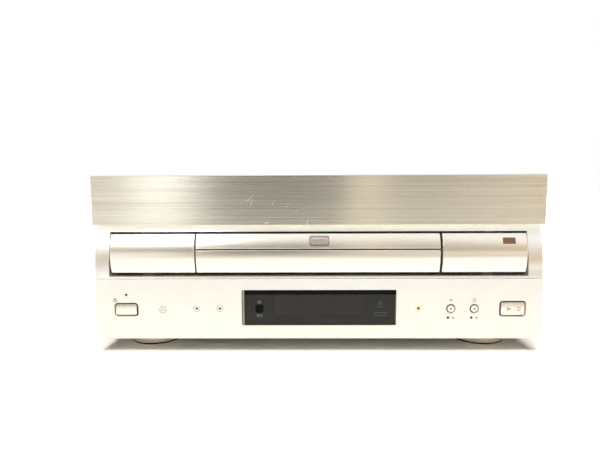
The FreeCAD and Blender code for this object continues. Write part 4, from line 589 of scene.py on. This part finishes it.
def turn(form, profile, place, axis, steps=ROUND_STEPS):
    """Adds a turned shape to a mesh: profile lists (radius, distance along the axis)."""
    side = axis.orthogonal().normalized()
    other = axis.cross(side)
    rings = []
    for radius, along in profile:
        centre = place + axis * along
        angles = [math.tau * i / steps for i in range(steps if radius else 1)]
        rings.append([form.verts.new(centre + radius * (math.cos(angle) * side + math.sin(angle) * other))
                      for angle in angles])
    for one, two in zip(rings, rings[1:]):
        for i in range(steps):
            k = (i + 1) % steps
            corners = (one[i % len(one)], one[k % len(one)], two[k % len(two)], two[i % len(two)])
            form.faces.new(list(dict.fromkeys(corners)))


def smoothed(mesh):
    """A mesh made smooth, with its corners kept sharp."""
    mesh.shade_smooth()
    mesh.set_sharp_from_angle(angle=SHARP_ANGLE)
    return mesh


def solids_of(node):
    """The lowest and highest corners of each separate solid of a node."""
    form = bmesh.new()
    form.from_mesh(NODES[node].data)
    bmesh.ops.remove_doubles(form, verts=form.verts, dist=WELD)
    waiting = set(form.verts)
    boxes = []
    while waiting:
        found = {waiting.pop()}
        edge = list(found)
        while edge:
            near = {e.other_vert(v) for v in edge for e in v.link_edges} & waiting
            waiting -= near
            found |= near
            edge = list(near)
        boxes.append(tuple(Vector([pick(v.co[i] for v in found) for i in range(3)]) for pick in (min, max)))
    form.free()
    return sorted(boxes, key=lambda corners: tuple(corners[0]))


def button_face(node):
    """Edges of the face that a button shows: left, right, bottom and top."""
    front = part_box(node)[0].y
    seen = [v.co for v in NODES[node].data.vertices if v.co.y < front + BUTTON_SEEN]
    return (min(v.x for v in seen), max(v.x for v in seen), min(v.z for v in seen), max(v.z for v in seen))


# ---- Pieces


def panel_ink(name, cells, ink):
    """A mark printed on the lower front panel."""
    laid_on(name, "lower_front_panel", cells, ink, "root")


def eject_sign(x, z, half):
    """A triangle over a bar."""
    bar = (-half, half, -EJECT_BAR_FROM * half, -EJECT_BAR_TO * half)
    return [[(x - half, z), (x + half, z), (x, z + EJECT_TIP * half)]] + bars_at(x, z, bar)


def front_marks():
    """Plain printed symbols beside the controls; no words."""
    left, _, _, high = edges_of("power_button")
    x, z = left + POWER_SIGN_IN, high + POWER_SIGN_UP
    panel_ink("power_symbol", ring(x, z, *POWER_RING), INK)
    panel_ink("power_symbol_bar", bars_at(x, z, POWER_BAR), INK)
    left, _, low, _ = edges_of("lower_front_panel")
    x, z = left + DISC_SIGN_IN, low + DISC_SIGN_UP
    panel_ink("disc_symbol", ring(x, z, *DISC_RIM) + ring(x, z, *DISC_HUB), PALE_INK)
    for i, node in enumerate(("small_tray_button", "large_tray_button"), 1):
        x, z = middle_of(button_face(node))
        panel_ink(f"tray_light_{i}", disc(x + TRAY_LIGHT_X, z + TRAY_LIGHT_Z, TRAY_LIGHT_R), BLACK_INK_AND_SHADE)
        below = [[(x + across, z + up) for across, up in TRAY_TRIANGLE]]
        panel_ink(f"tray_triangle_{i}", below, GREY_INK_AND_SHADE)
        sign_z, size = z + TRAY_SIGN_UP, TRAY_SIGN_R[i - 1]
        above = ring(x, sign_z, size, size - TRAY_SIGN_LINE) + disc(x, sign_z, TRAY_SIGN_DOT)
        panel_ink(f"tray_symbol_{i}", above, GREY_INK_AND_SHADE)
        sign = eject_sign(x, z - EJECT_DROP, EJECT_HALF)
        laid_on(f"eject_symbol_{i}", node, sign, INK, node)


def play_symbol():
    """Outlined play and pause signs with a slash between them."""
    x, z = middle_of(button_face("play_button"))
    low, high = z - PLAY_SIGN_H / 2, z + PLAY_SIGN_H / 2
    play = [(x + PLAY_FROM, low), (x + PLAY_TO, z), (x + PLAY_FROM, high)]
    cells = band(play, shrunk(play, PLAY_HOLLOW))
    foot, top = x + SLASH_FROM, x + SLASH_TO
    cells.append([(foot, low), (foot + SLASH_W, low), (top + SLASH_W, high), (top, high)])
    for start in PAUSE_FROM:
        bar = (x + start, x + start + PAUSE_W, low, high)
        inner = inset(bar, PAUSE_LINE)
        cells += band(rounded(*bar, PAUSE_CORNER, 1), rounded(*inner, PAUSE_CORNER / 2, 1))
    laid_on("play_symbol", "play_button", cells, INK, "play_button")


def band_round(face, corner, outer, inner):
    """Cells of a band between two distances from the edges of a button's face."""
    return band(*(rounded(*inset(face, -by), corner + by - CORNER_EASE, CORNER_STEPS)
                  for by in (outer, inner)))


def button_painted_shade():
    """Painted shade round the buttons: dark layers at the bottom of the open rings and brown rims at the
    openings.
    """
    moulding = surface_of("fascia_moulding")
    for node in ("power_button", "play_button", "small_tray_button", "large_tray_button"):
        face = button_face(node)
        left, _, low, high = face
        level = moulding(left - SHADE_REACH, (low + high) / 2) - SHADE_THICK / 2
        round_one = high - low < ROUND_LIMIT
        opening = ROUND_OPENING if round_one else SQUARE_OPENING
        corner = (high - low) / 2 if round_one else SQUARE_CORNER
        # Painted shade: a brown rim at the opening and a dark layer down in the open ring stand in for the
        # shade in the gap.
        rim = band_round(face, corner, opening + SHADE_RIM_W, opening)
        panel_ink(node.replace("button", "rim"), rim, PAINTED_RIM_SHADE)
        shroud = band_round(face, corner, SHADE_REACH, SHADE_FIT)
        laid_on(node.replace("button", "shroud"), "fascia_moulding", shroud, PAINTED_SHADE_SHROUD,
                "root", SHADE_THICK, level=level)


def indicator_bezels():
    """Painted shade as dark rims at the lenses, and turned rings in the dimples of all lights but the first,
    on standby. The last light's ring and its edge carry a painted yellow glow; the other rings get a ring of
    painted shade round their edge.
    """
    places = sorted(((low + high) / 2 for low, high in solids_of("indicator_lights")), key=lambda mid: mid.x)
    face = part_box("lower_front_panel")[0].y
    profile = [(BEZEL_HOLE, BEZEL_SUNK), (BEZEL_HOLE, BEZEL_LIP), (BEZEL_HOLE + BEZEL_SLOPE, 0.0),
               (BEZEL_R - BEZEL_CROWN, BEZEL_TOP), (BEZEL_R - BEZEL_ROUND, BEZEL_FALL), (BEZEL_R, BEZEL_SIDE),
               (BEZEL_HOLE + BEZEL_WALL, BEZEL_SUNK), (BEZEL_HOLE, BEZEL_SUNK)]
    for i, place in enumerate(places, 1):
        x, z = place.x, place.z
        # A ring of painted shade at the lens hole's edge.
        panel_ink(f"lens_painted_shade_{i}", ring(x, z, LENS_HOLE + LENS_SHADE_W, LENS_HOLE), BLACK_INK_AND_SHADE)
        if i > 1:
            # The last light is shown lit by a painted yellow glow on its bezel and edge; the others get
            # painted shade round their edge.
            finish, edge = (PAINTED_GLOW_RING, PAINTED_GLOW_RING) if i == len(places) else (BEZEL, GREY_INK_AND_SHADE)
            form = bmesh.new()
            turn(form, profile, Vector((x, face, z)), Vector((0, FRONT, 0)))
            name = f"light_bezel_{i}"
            add_object(name, smoothed(mesh_from(form, name)), finish, "root")
            panel_ink(f"light_painted_edge_{i}", ring(x, z, *(BEZEL_R + by for by in PAINTED_LIGHT_EDGE)), edge)


def pane_mark(name, cells, finish):
    """A thin layer on the display window."""
    laid_on(name, "display_window", cells, finish, "root")


def sensor_marks(left, right, low, high):
    """Short bars above and below the infrared receiver."""
    x = (left + right) / 2
    return bars_at(x, high, *OVER_SENSOR) + bars_at(x, low, *UNDER_SENSOR)


def status_marks(x, z):
    """A ring with a dot, a line and an outlined box below them."""
    box = edges_from(x, z, STATUS_FRAME)
    inner = inset(box, STATUS_FRAME_W)
    outline = band(rounded(*box, STATUS_CORNER), rounded(*inner, STATUS_CORNER - STATUS_FRAME_W))
    return ring(x, z, *STATUS_RING) + disc(x, z, STATUS_DOT) + bars_at(x, z, STATUS_LINE) + outline


def window_details():
    """Painted light and shade on the window's edges, the lit area behind it and faint unlit symbols."""
    pane = inset(edges_of("display_window"), PANE_MARGIN)
    left, right, low, high = pane
    rim, inner = left + PANE_RIM, left + PANE_LEFT
    under, over = low + PANE_BOTTOM, high - PANE_TOP
    # Painted highlight on the left, painted shade on the left rim, the bottom and the right, and a painted
    # shadow along the top.
    for side, edges, finish in (("left_painted_shade", (left, rim, low, high), PAINTED_EDGE_SHADE_BROWN),
                                ("left_painted_highlight", (rim, inner, low, high), PAINTED_EDGE_HIGHLIGHT),
                                ("top_painted_shadow", (inner, right, over, high), PAINTED_SHADOW_AND_HOOD_BLACK),
                                ("bottom_painted_shade", (inner, right, low, under), PAINTED_EDGE_SHADE_BROWN),
                                ("right_painted_shade", (right - PANE_RIGHT, right, under, over), PAINTED_EDGE_SHADE_GREY)):
        pane_mark(f"window_{side}", [clipped(rounded(*pane, PANE_CORNER), *edges)], finish)
    sensor = edges_of("remote_sensor")
    pane_mark("sensor_hood", [rounded(*sensor, HOOD_CORNER, 1)], PAINTED_SHADOW_AND_HOOD_BLACK)
    area = [edge + by for edge, by in zip(edges_of("display_tube"), AREA)]
    laid_on("display_area", "display_tube", patch(*area), AREA_FINISH, "root")
    pane_mark("sensor_marks", sensor_marks(*sensor), WINDOW_INK)
    _, right, _, high = edges_of("display_window")
    pane_mark("status_marks", status_marks(right - STATUS_IN, high - STATUS_DOWN), WINDOW_INK)


def face_plates():
    """The bare badge's rim and field, and the bare plate on the right wing."""
    badge = edges_of("badge_plate")
    edge = inset(badge, BADGE_MARGIN)
    rim = band(rounded(*edge, BADGE_CORNER), rounded(*inset(edge, BADGE_RIM_W), BADGE_INNER_CORNER))
    laid_on("badge_rim", "badge_plate", rim, BADGE_RIM, "small_tray", BADGE_RIM_THICK)
    left, right, low, high = badge
    field = (left + FIELD_SIDE, right - FIELD_SIDE, low + FIELD_END, high - FIELD_END)
    line = band(rounded(*field, FIELD_CORNER), rounded(*inset(field, FIELD_LINE), FIELD_INNER_CORNER))
    laid_on("badge_line", "badge_plate", line, BADGE_LINE, "small_tray")
    _, right, _, high = edges_of("right_door_face")
    plate = patch(*edges_from(right, high, WING_PLATE), *WING_CELLS)
    laid_on("wing_plate", "right_door_face", plate, WING_BROWN, "large_tray", WING_PLATE_THICK)


def cross_recess(mesh, radius, head):
    """Cuts a cross recess into a screw's head, whose top is at the origin."""
    form = bmesh.new()
    arm, reach = CROSS_SLOT * radius / 2, CROSS_REACH * radius
    for along, across in ((reach, arm), (arm, reach)):
        box = bmesh.ops.create_cube(form, size=2.0)
        bmesh.ops.scale(form, vec=(along, across, CROSS_DEPTH * head), verts=box["verts"])
    cutter = in_scene("cross_cutter", mesh_from(form, "cross_cutter"))
    screw = in_scene("screw_blank", mesh)
    cut = screw.modifiers.new("recess", "BOOLEAN")
    cut.object = cutter
    cut.use_self = True
    cut.solver = "EXACT"
    result = bpy.data.meshes.new_from_object(screw.evaluated_get(bpy.context.evaluated_depsgraph_get()))
    for blank in (cutter, screw):
        bpy.data.objects.remove(blank)
    return result


def screws(node, axis, slot):
    """Cross-headed screws in the places of a node's plain ones."""
    for i, (low, high) in enumerate(solids_of(node), 1):
        out = Vector(axis)
        if out.x:
            out.x = math.copysign(1.0, low.x + high.x)
        size = high - low
        radius = size.z / 2
        length = abs(out.dot(size))
        head = length - SHANK_L
        form = bmesh.new()
        dome = [(radius * math.sin(angle), -head * (1 - math.cos(angle)) * DOME_DROP)
                for angle in (k * DOME_STEP for k in range(DOME_POINTS))]
        side = [(radius, -head * DOME_FOOT), (radius, -head)]
        shank = [(SHANK_R, -head), (SHANK_R, -length), (0, -length)]
        turn(form, dome + side + shank, Vector((0, 0, 0)), Vector((0, 0, 1)), SCREW_STEPS)
        mesh = smoothed(cross_recess(mesh_from(form, f"{node}_{i}"), radius, head))
        middle = (low + high) / 2 + out * length / 2
        mesh.transform(Matrix.Translation(middle) @ out.to_track_quat("Z", "Y").to_matrix().to_4x4())
        piece = add_object(f"{node}_{i}", mesh, FINISHES[slot], "root")
        if i == 1:
            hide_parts(node)


def tube(outer, inner, start, end, edge=None):
    """Closed profile of a pipe; edge is the width and height cut from its outer end."""
    corner = [(outer, end - edge[1]), (outer - edge[0], end)] if edge else [(outer, end)]
    return [(outer, start)] + corner + [(inner, end), (inner, start), (outer, start)]


def phono_details():
    """Sleeves with coloured collars and insulators, in the places of the plain jacks."""
    sleeves = bmesh.new()
    out = Vector((0, REAR, 0))
    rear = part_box("rear_panel")[1].y
    columns = {}
    for low, high in solids_of("phono_jacks"):
        end = high.y
        place = Vector(((low.x + high.x) / 2, 0, (low.z + high.z) / 2))
        turn(sleeves, tube(SLEEVE_R, SLEEVE_BORE, rear - SLEEVE_SUNK, end, SLEEVE_EDGE), place, out)
        form = columns.setdefault(round(place.x / JACK_STEP), bmesh.new())
        collar = tube(COLLAR_R, SLEEVE_R - JACK_FIT, rear - COLLAR_SUNK, rear + COLLAR_H, COLLAR_EDGE)
        core = tube(SLEEVE_BORE + JACK_FIT, JACK_BORE, rear - CORE_SUNK, end - CORE_DROP)
        for profile in (collar, core):
            turn(form, profile, place, out)
    mesh = smoothed(mesh_from(sleeves, "phono_sleeves"))
    piece = add_object("phono_sleeves", mesh, FINISHES["jack_metal"], "root")
    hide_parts("phono_jacks")
    for i, (column, finish) in enumerate(zip(sorted(columns), COLLAR_FINISHES), 1):
        name = f"phono_collars_{i}"
        mesh = smoothed(mesh_from(columns[column], name))
        add_object(name, mesh, finish, "root")


def socket_details():
    """Pin holes and keys of the picture sockets."""
    optical_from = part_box("signal_jacks")[1].x - OPTICAL_W
    for i, (low, high) in enumerate(solids_of("signal_jacks"), 1):
        x, z = (low.x + high.x) / 2, (low.z + high.z) / 2
        if high.x - low.x > 2 * (high.z - low.z) or x > optical_from:
            continue
        holes = [disc(x + side, z + up, PIN_R, PIN_STEPS)[0] for side, up in PIN_HOLES]
        holes += bars_at(x, z, SOCKET_KEY)
        laid_on(f"socket_holes_{i}", "signal_jacks", holes, PIN_BRASS, "root", facing=REAR)


def panel_scratches():
    """Fine bright scratches across the brushed panel, each narrower at its end."""
    left, _, low, _ = edges_of("upper_front_panel")
    cells = []
    for scratch in SCRATCHES:
        start, height, run, rise = mm(*scratch)
        x, z = left + start, low + height
        length = math.hypot(run, rise)
        half_x, half_z = -rise / length * SCRATCH_HALF, run / length * SCRATCH_HALF
        tip_x, tip_z = half_x / SCRATCH_TAPER, half_z / SCRATCH_TAPER
        cells.append([(x - half_x, z - half_z), (x + run - tip_x, z + rise - tip_z),
                      (x + run + tip_x, z + rise + tip_z), (x + half_x, z + half_z)])
    laid_on("panel_scratches", "upper_front_panel", cells, SCRATCH_METAL, "root",
            SCRATCH_THICK)


# ---- Studio

FLOOR_SIZE = 8.0
FLOOR_SEEN = (1.02, 0.99, 0.93, 1.0)  # what the camera and reflections meet, so that it reads as white
FLOOR_LIT = (0.3, 0.3, 0.3, 1.0)  # its colour for the light that it throws on other surfaces
WORLD_SOFT = 0.12  # the world's light on surfaces; it is seen as plain white
CARD_Y = -1.2
CARD_HALF = 1.1
CARD_LOW = 0.09  # below this height the card takes CARD_STOPS, met low on the brushed panel
CARD_HIGH = 0.13  # above this one BAND_STOPS, met higher on the panel and in the doors
CARD_TOP = 1.3
RISE = 0.22  # from this height the card pales towards the ceiling
BAND_WARM, CARD_WARM = (1.0, 0.81, 0.57), (1.0, 0.93, 0.82)
# Across the card: place, brightness, and how warm it is
CARD_STOPS = ((-1.1, 0.7, 1), (-0.63, 0.74, 1), (-0.55, 0.9, 1), (-0.47, 1.2, 0), (-0.40, 1.0, 0),
              (-0.33, 0.50, 1), (-0.26, 0.0, 0), (-0.10, 0.0, 0), (0.03, 0.26, 0), (0.15, 0.65, 0),
              (0.27, 0.90, 0.5), (0.36, 0.85, 1), (0.45, 0.95, 1), (0.63, 1.1, 1), (1.1, 1.0, 1))
BAND_STOPS = ((-1.1, 0.7, 1.2), (-0.62, 0.46, 1.2), (-0.50, 0.28, 1), (-0.40, 0.18, 1), (-0.30, 0.02, 1),
              (0.0, 0.0, 1), (0.09, 0.0, 1), (0.13, 0.85, 1), (0.20, 0.95, 1), (0.24, 0.32, 1),
              (0.30, 0.26, 1), (0.45, 0.36, 1), (0.56, 0.42, 1), (0.64, 0.54, 1.7), (1.1, 0.54, 1.7))
# Across the card: place and the height at which it is white
WHITE_STOPS = ((-1.1, 0.45), (-0.60, 0.50), (-0.45, 0.65), (-0.25, 0.85), (0.0, 1.05), (0.3, 1.1),
               (0.5, 0.95), (0.65, 0.6), (1.1, 0.6))
SIDE_X, SIDE_NEAR = 1.3, 0.30  # the grey walls and mats beside the machine
SIDE_FRONT, SIDE_BACK = -0.22, 1.2
SIDE_TOP = 1.0
SIDE_DARK, SIDE_PALE = (0.44, 0.41, 0.36, 1.0), (0.72, 0.69, 0.63, 1.0)
ROOF_Z = 2.2
SPOT = (6.5, 6.5, 6.5, 1.0)  # a bright patch high on the left
SPOT_STOPS = ((-1.1, 0.0), (-0.60, 0.0), (-0.52, 1.0), (-0.42, 1.0), (-0.32, 0.0), (1.1, 0.0))
SPOT_FROM, SPOT_FULL = 0.40, 0.52
MAT_NEAR, MAT_FULL, MAT_FAR = 0.30, 0.58, 0.99  # the darker floor in front: distances from the front
MAT_GREY = 0.46
MAT_LEFT, MAT_INNER = -0.37, -0.28  # it starts between these places across
MAT_Z = 1.0 * MM  # how far the sheets lie above the floor


def math_node(tree, operation, *values):
    """The result of a sum on sockets and numbers."""
    return wired(tree, "Math", dict(enumerate(values)), operation=operation)


def seen_directly(tree):
    """1 for what the camera, reflections and clear things see, 0 for light on surfaces."""
    rays = tree.nodes.new("ShaderNodeLightPath").outputs
    seen = math_node(tree, "MAXIMUM", rays["Is Camera Ray"], rays["Is Glossy Ray"])
    return math_node(tree, "MAXIMUM", seen, rays["Is Transmission Ray"])


def build_world():
    """Soft light all round, seen as plain white."""
    world = bpy.data.worlds.new("studio")
    bpy.context.scene.world = world
    world.use_nodes = True
    tree = world.node_tree
    background = tree.nodes["Background"].inputs
    feed(tree, background["Color"], WHITE)
    level = wired(tree, "MapRange", {"Value": seen_directly(tree), "To Min": WORLD_SOFT, "To Max": 1.0})
    feed(tree, background["Strength"], level)


def bare_material(name):
    """A new material with only its output node, and that node's surface socket."""
    material = bpy.data.materials.new(name)
    material.use_nodes = True
    material.node_tree.nodes.clear()
    return material, material.node_tree.nodes.new("ShaderNodeOutputMaterial").inputs[0]


def flat_object(name, corners, material):
    """A flat thing of the studio, which isn't part of the player."""
    mesh = bpy.data.meshes.new(name)
    mesh.from_pydata(corners, [], [tuple(range(len(corners)))])
    mesh.materials.append(material)
    flat = in_scene(name, mesh)
    return flat


def build_floor():
    """A floor that is seen as white and takes soft shadows."""
    material, surface = bare_material("floor")
    tree = material.node_tree
    tint = blended(tree, seen_directly(tree), FLOOR_LIT, FLOOR_SEEN)
    feed(tree, surface, wired(tree, "BsdfDiffuse", {"Color": tint}))
    half = FLOOR_SIZE / 2
    flat_object("floor", [(-half, -half, 0), (half, -half, 0), (half, half, 0), (-half, half, 0)], material)


def across_ramp(tree, share, stops):
    """A ramp across the card: stops give a place and a colour."""
    ramp = tree.nodes.new("ShaderNodeValToRGB")
    feed(tree, ramp.inputs[0], share)
    elements = ramp.color_ramp.elements
    elements.remove(elements[-1])
    for i, (x, value) in enumerate(stops):
        where = (x + CARD_HALF) / (2 * CARD_HALF)
        element = elements[0] if i == 0 else elements.new(where)
        element.position = where
        element.color = (*value, 1)
    return ramp.outputs[0]


def warmed(stops, tints):
    """Stops of place, brightness and warmth as places and colours."""
    return [(x, [level * (1 + warm * (tint - 1)) for tint in tints]) for x, level, warm in stops]


def grey(stops):
    """Stops of place and level as places and colours."""
    return [(x, [level] * 3) for x, level in stops]


def rise_between(tree, value, start, end):
    """0 at the start and 1 at the end, smoothly; either can be a socket or a number."""
    inputs = {"Value": value, "From Min": start, "From Max": end}
    return wired(tree, "MapRange", inputs, interpolation_type="SMOOTHSTEP")


def mirror_only(name, corners, make_colour):
    """A glowing sheet that only reflections meet."""
    material, surface = bare_material(name)
    tree = material.node_tree
    split = tree.nodes.new("ShaderNodeSeparateXYZ")
    feed(tree, split.inputs[0], wired(tree, "TexCoord", {}, "Object"))
    feed(tree, surface, wired(tree, "Emission", {"Color": make_colour(tree, split.outputs)}))
    sheet = flat_object(name, corners, material)
    for rays in ("camera", "diffuse", "shadow", "transmission"):
        setattr(sheet, f"visible_{rays}", False)


def card_colour(tree, places):
    """Dark low down, paler towards the ceiling, with a bright patch on the left."""
    z = places["Z"]
    across = wired(tree, "MapRange", {"Value": places["X"], "From Min": -CARD_HALF, "From Max": CARD_HALF})
    low = across_ramp(tree, across, warmed(CARD_STOPS, CARD_WARM))
    high = across_ramp(tree, across, warmed(BAND_STOPS, BAND_WARM))
    room = blended(tree, rise_between(tree, z, CARD_LOW, CARD_HIGH), low, high)
    white_from = across_ramp(tree, across, grey(WHITE_STOPS))
    room = blended(tree, rise_between(tree, z, RISE, white_from), room, WHITE)
    spot = across_ramp(tree, across, grey(SPOT_STOPS))
    lit = math_node(tree, "MULTIPLY", spot, rise_between(tree, z, SPOT_FROM, SPOT_FULL))
    return blended(tree, lit, room, SPOT)


def mat_colour(tree, places):
    """White near the machine and on the left, darker and warmer further out."""
    away = math_node(tree, "MULTIPLY_ADD", places["Y"], -1.0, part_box("lower_front_panel")[0].y)
    far_out = rise_between(tree, away, MAT_NEAR, MAT_FULL)
    share = math_node(tree, "MULTIPLY", far_out, rise_between(tree, places["X"], MAT_LEFT, MAT_INNER))
    return blended(tree, share, WHITE, (*(MAT_GREY * tint for tint in BAND_WARM), 1.0))


def side_colour(tree, places):
    """Grey at the floor, paler further up."""
    return blended(tree, rise_between(tree, places["Z"], 0.0, SIDE_TOP), SIDE_DARK, SIDE_PALE)


def level_colour(tree, places):
    """Grey at the front, paler towards the back."""
    return blended(tree, rise_between(tree, places["Y"], SIDE_FRONT, SIDE_BACK), SIDE_DARK, SIDE_PALE)


def level_sheet(name, left, right, front, back, height, make_colour):
    """A level sheet that only reflections meet."""
    corners = [(left, front, height), (right, front, height), (right, back, height), (left, back, height)]
    mirror_only(name, corners, make_colour)


def build_card():
    """The dark side of the room, met only by reflections: it shades the brushed panel and the doors."""
    half, front = CARD_HALF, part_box("lower_front_panel")[0].y
    corners = [(-half, CARD_Y, 0), (half, CARD_Y, 0), (half, CARD_Y, CARD_TOP), (-half, CARD_Y, CARD_TOP)]
    mirror_only("dark_card", corners, card_colour)
    level_sheet("floor_mat", -half, half, front - MAT_FAR, front - MAT_NEAR, MAT_Z, mat_colour)


def build_sides():
    """Grey walls, mats and a ceiling, met only by reflections: they shade the metal's ends and top edge."""
    for side, x in (("left", -SIDE_X), ("right", SIDE_X)):
        mirror_only(f"{side}_wall", [(x, SIDE_FRONT, 0), (x, SIDE_BACK, 0), (x, SIDE_BACK, SIDE_TOP),
                                     (x, SIDE_FRONT, SIDE_TOP)], side_colour)
        left, right = sorted((x, math.copysign(SIDE_NEAR, x)))
        level_sheet(f"{side}_mat", left, right, SIDE_FRONT, SIDE_BACK, MAT_Z, level_colour)
    level_sheet("ceiling", -SIDE_X, SIDE_X, SIDE_FRONT, SIDE_BACK, ROOF_Z, level_colour)


def add_sun(name, azimuth, height, strength, softness, tint=(1, 1, 1)):
    """A wide soft sun: azimuth from the front towards the right and height above the floor, in degrees."""
    light = bpy.data.lights.new(name, "SUN")
    light.energy = strength
    light.angle = math.radians(softness)
    light.color = tint
    sun = in_scene(name, light)
    sun.rotation_euler = (math.radians(90 - height), 0.0, math.radians(azimuth))
    sun.visible_glossy = False


def build_lamps():
    """One sun from above, two from the front's sides and a low one for the shadows under the front."""
    add_sun("top_light", azimuth=0, height=76, strength=1.9, softness=18)
    add_sun("left_light", azimuth=-22, height=57, strength=1.5, softness=18)
    add_sun("right_light", azimuth=28, height=57, strength=0.9, softness=18, tint=(1.0, 0.94, 0.82))
    add_sun("front_light", azimuth=0, height=6, strength=0.5, softness=12)


def build_camera():
    """The camera, from its place, lens and three angles."""
    sight = Vector((math.sin(YAW) * math.cos(PITCH), math.cos(YAW) * math.cos(PITCH), math.sin(PITCH)))
    level_right = Vector((math.cos(YAW), -math.sin(YAW), 0.0))
    level_up = level_right.cross(sight)
    right = math.cos(ROLL) * level_right + math.sin(ROLL) * level_up
    up = math.cos(ROLL) * level_up - math.sin(ROLL) * level_right
    camera = in_scene("camera", bpy.data.cameras.new("camera"))
    camera.data.lens = LENS_MM
    camera.data.sensor_width = FILM_MM
    camera.data.sensor_fit = "HORIZONTAL"
    camera.data.clip_start = CLIP_START
    camera.matrix_world = Matrix.Translation(EYE) @ Matrix((right, up, -sight)).transposed().to_4x4()
    bpy.context.scene.camera = camera


dress_frame()
front_marks()
play_symbol()
button_painted_shade()
indicator_bezels()
window_details()
face_plates()
screws("cover_screws", (1, 0, 0), "screw_steel")
screws("rear_screws", (0, 1, 0), "screw_steel")
phono_details()
socket_details()
panel_scratches()
build_world()
build_floor()
build_card()
build_sides()
build_lamps()
build_camera()
bpy.context.scene.view_settings.view_transform = "Standard"
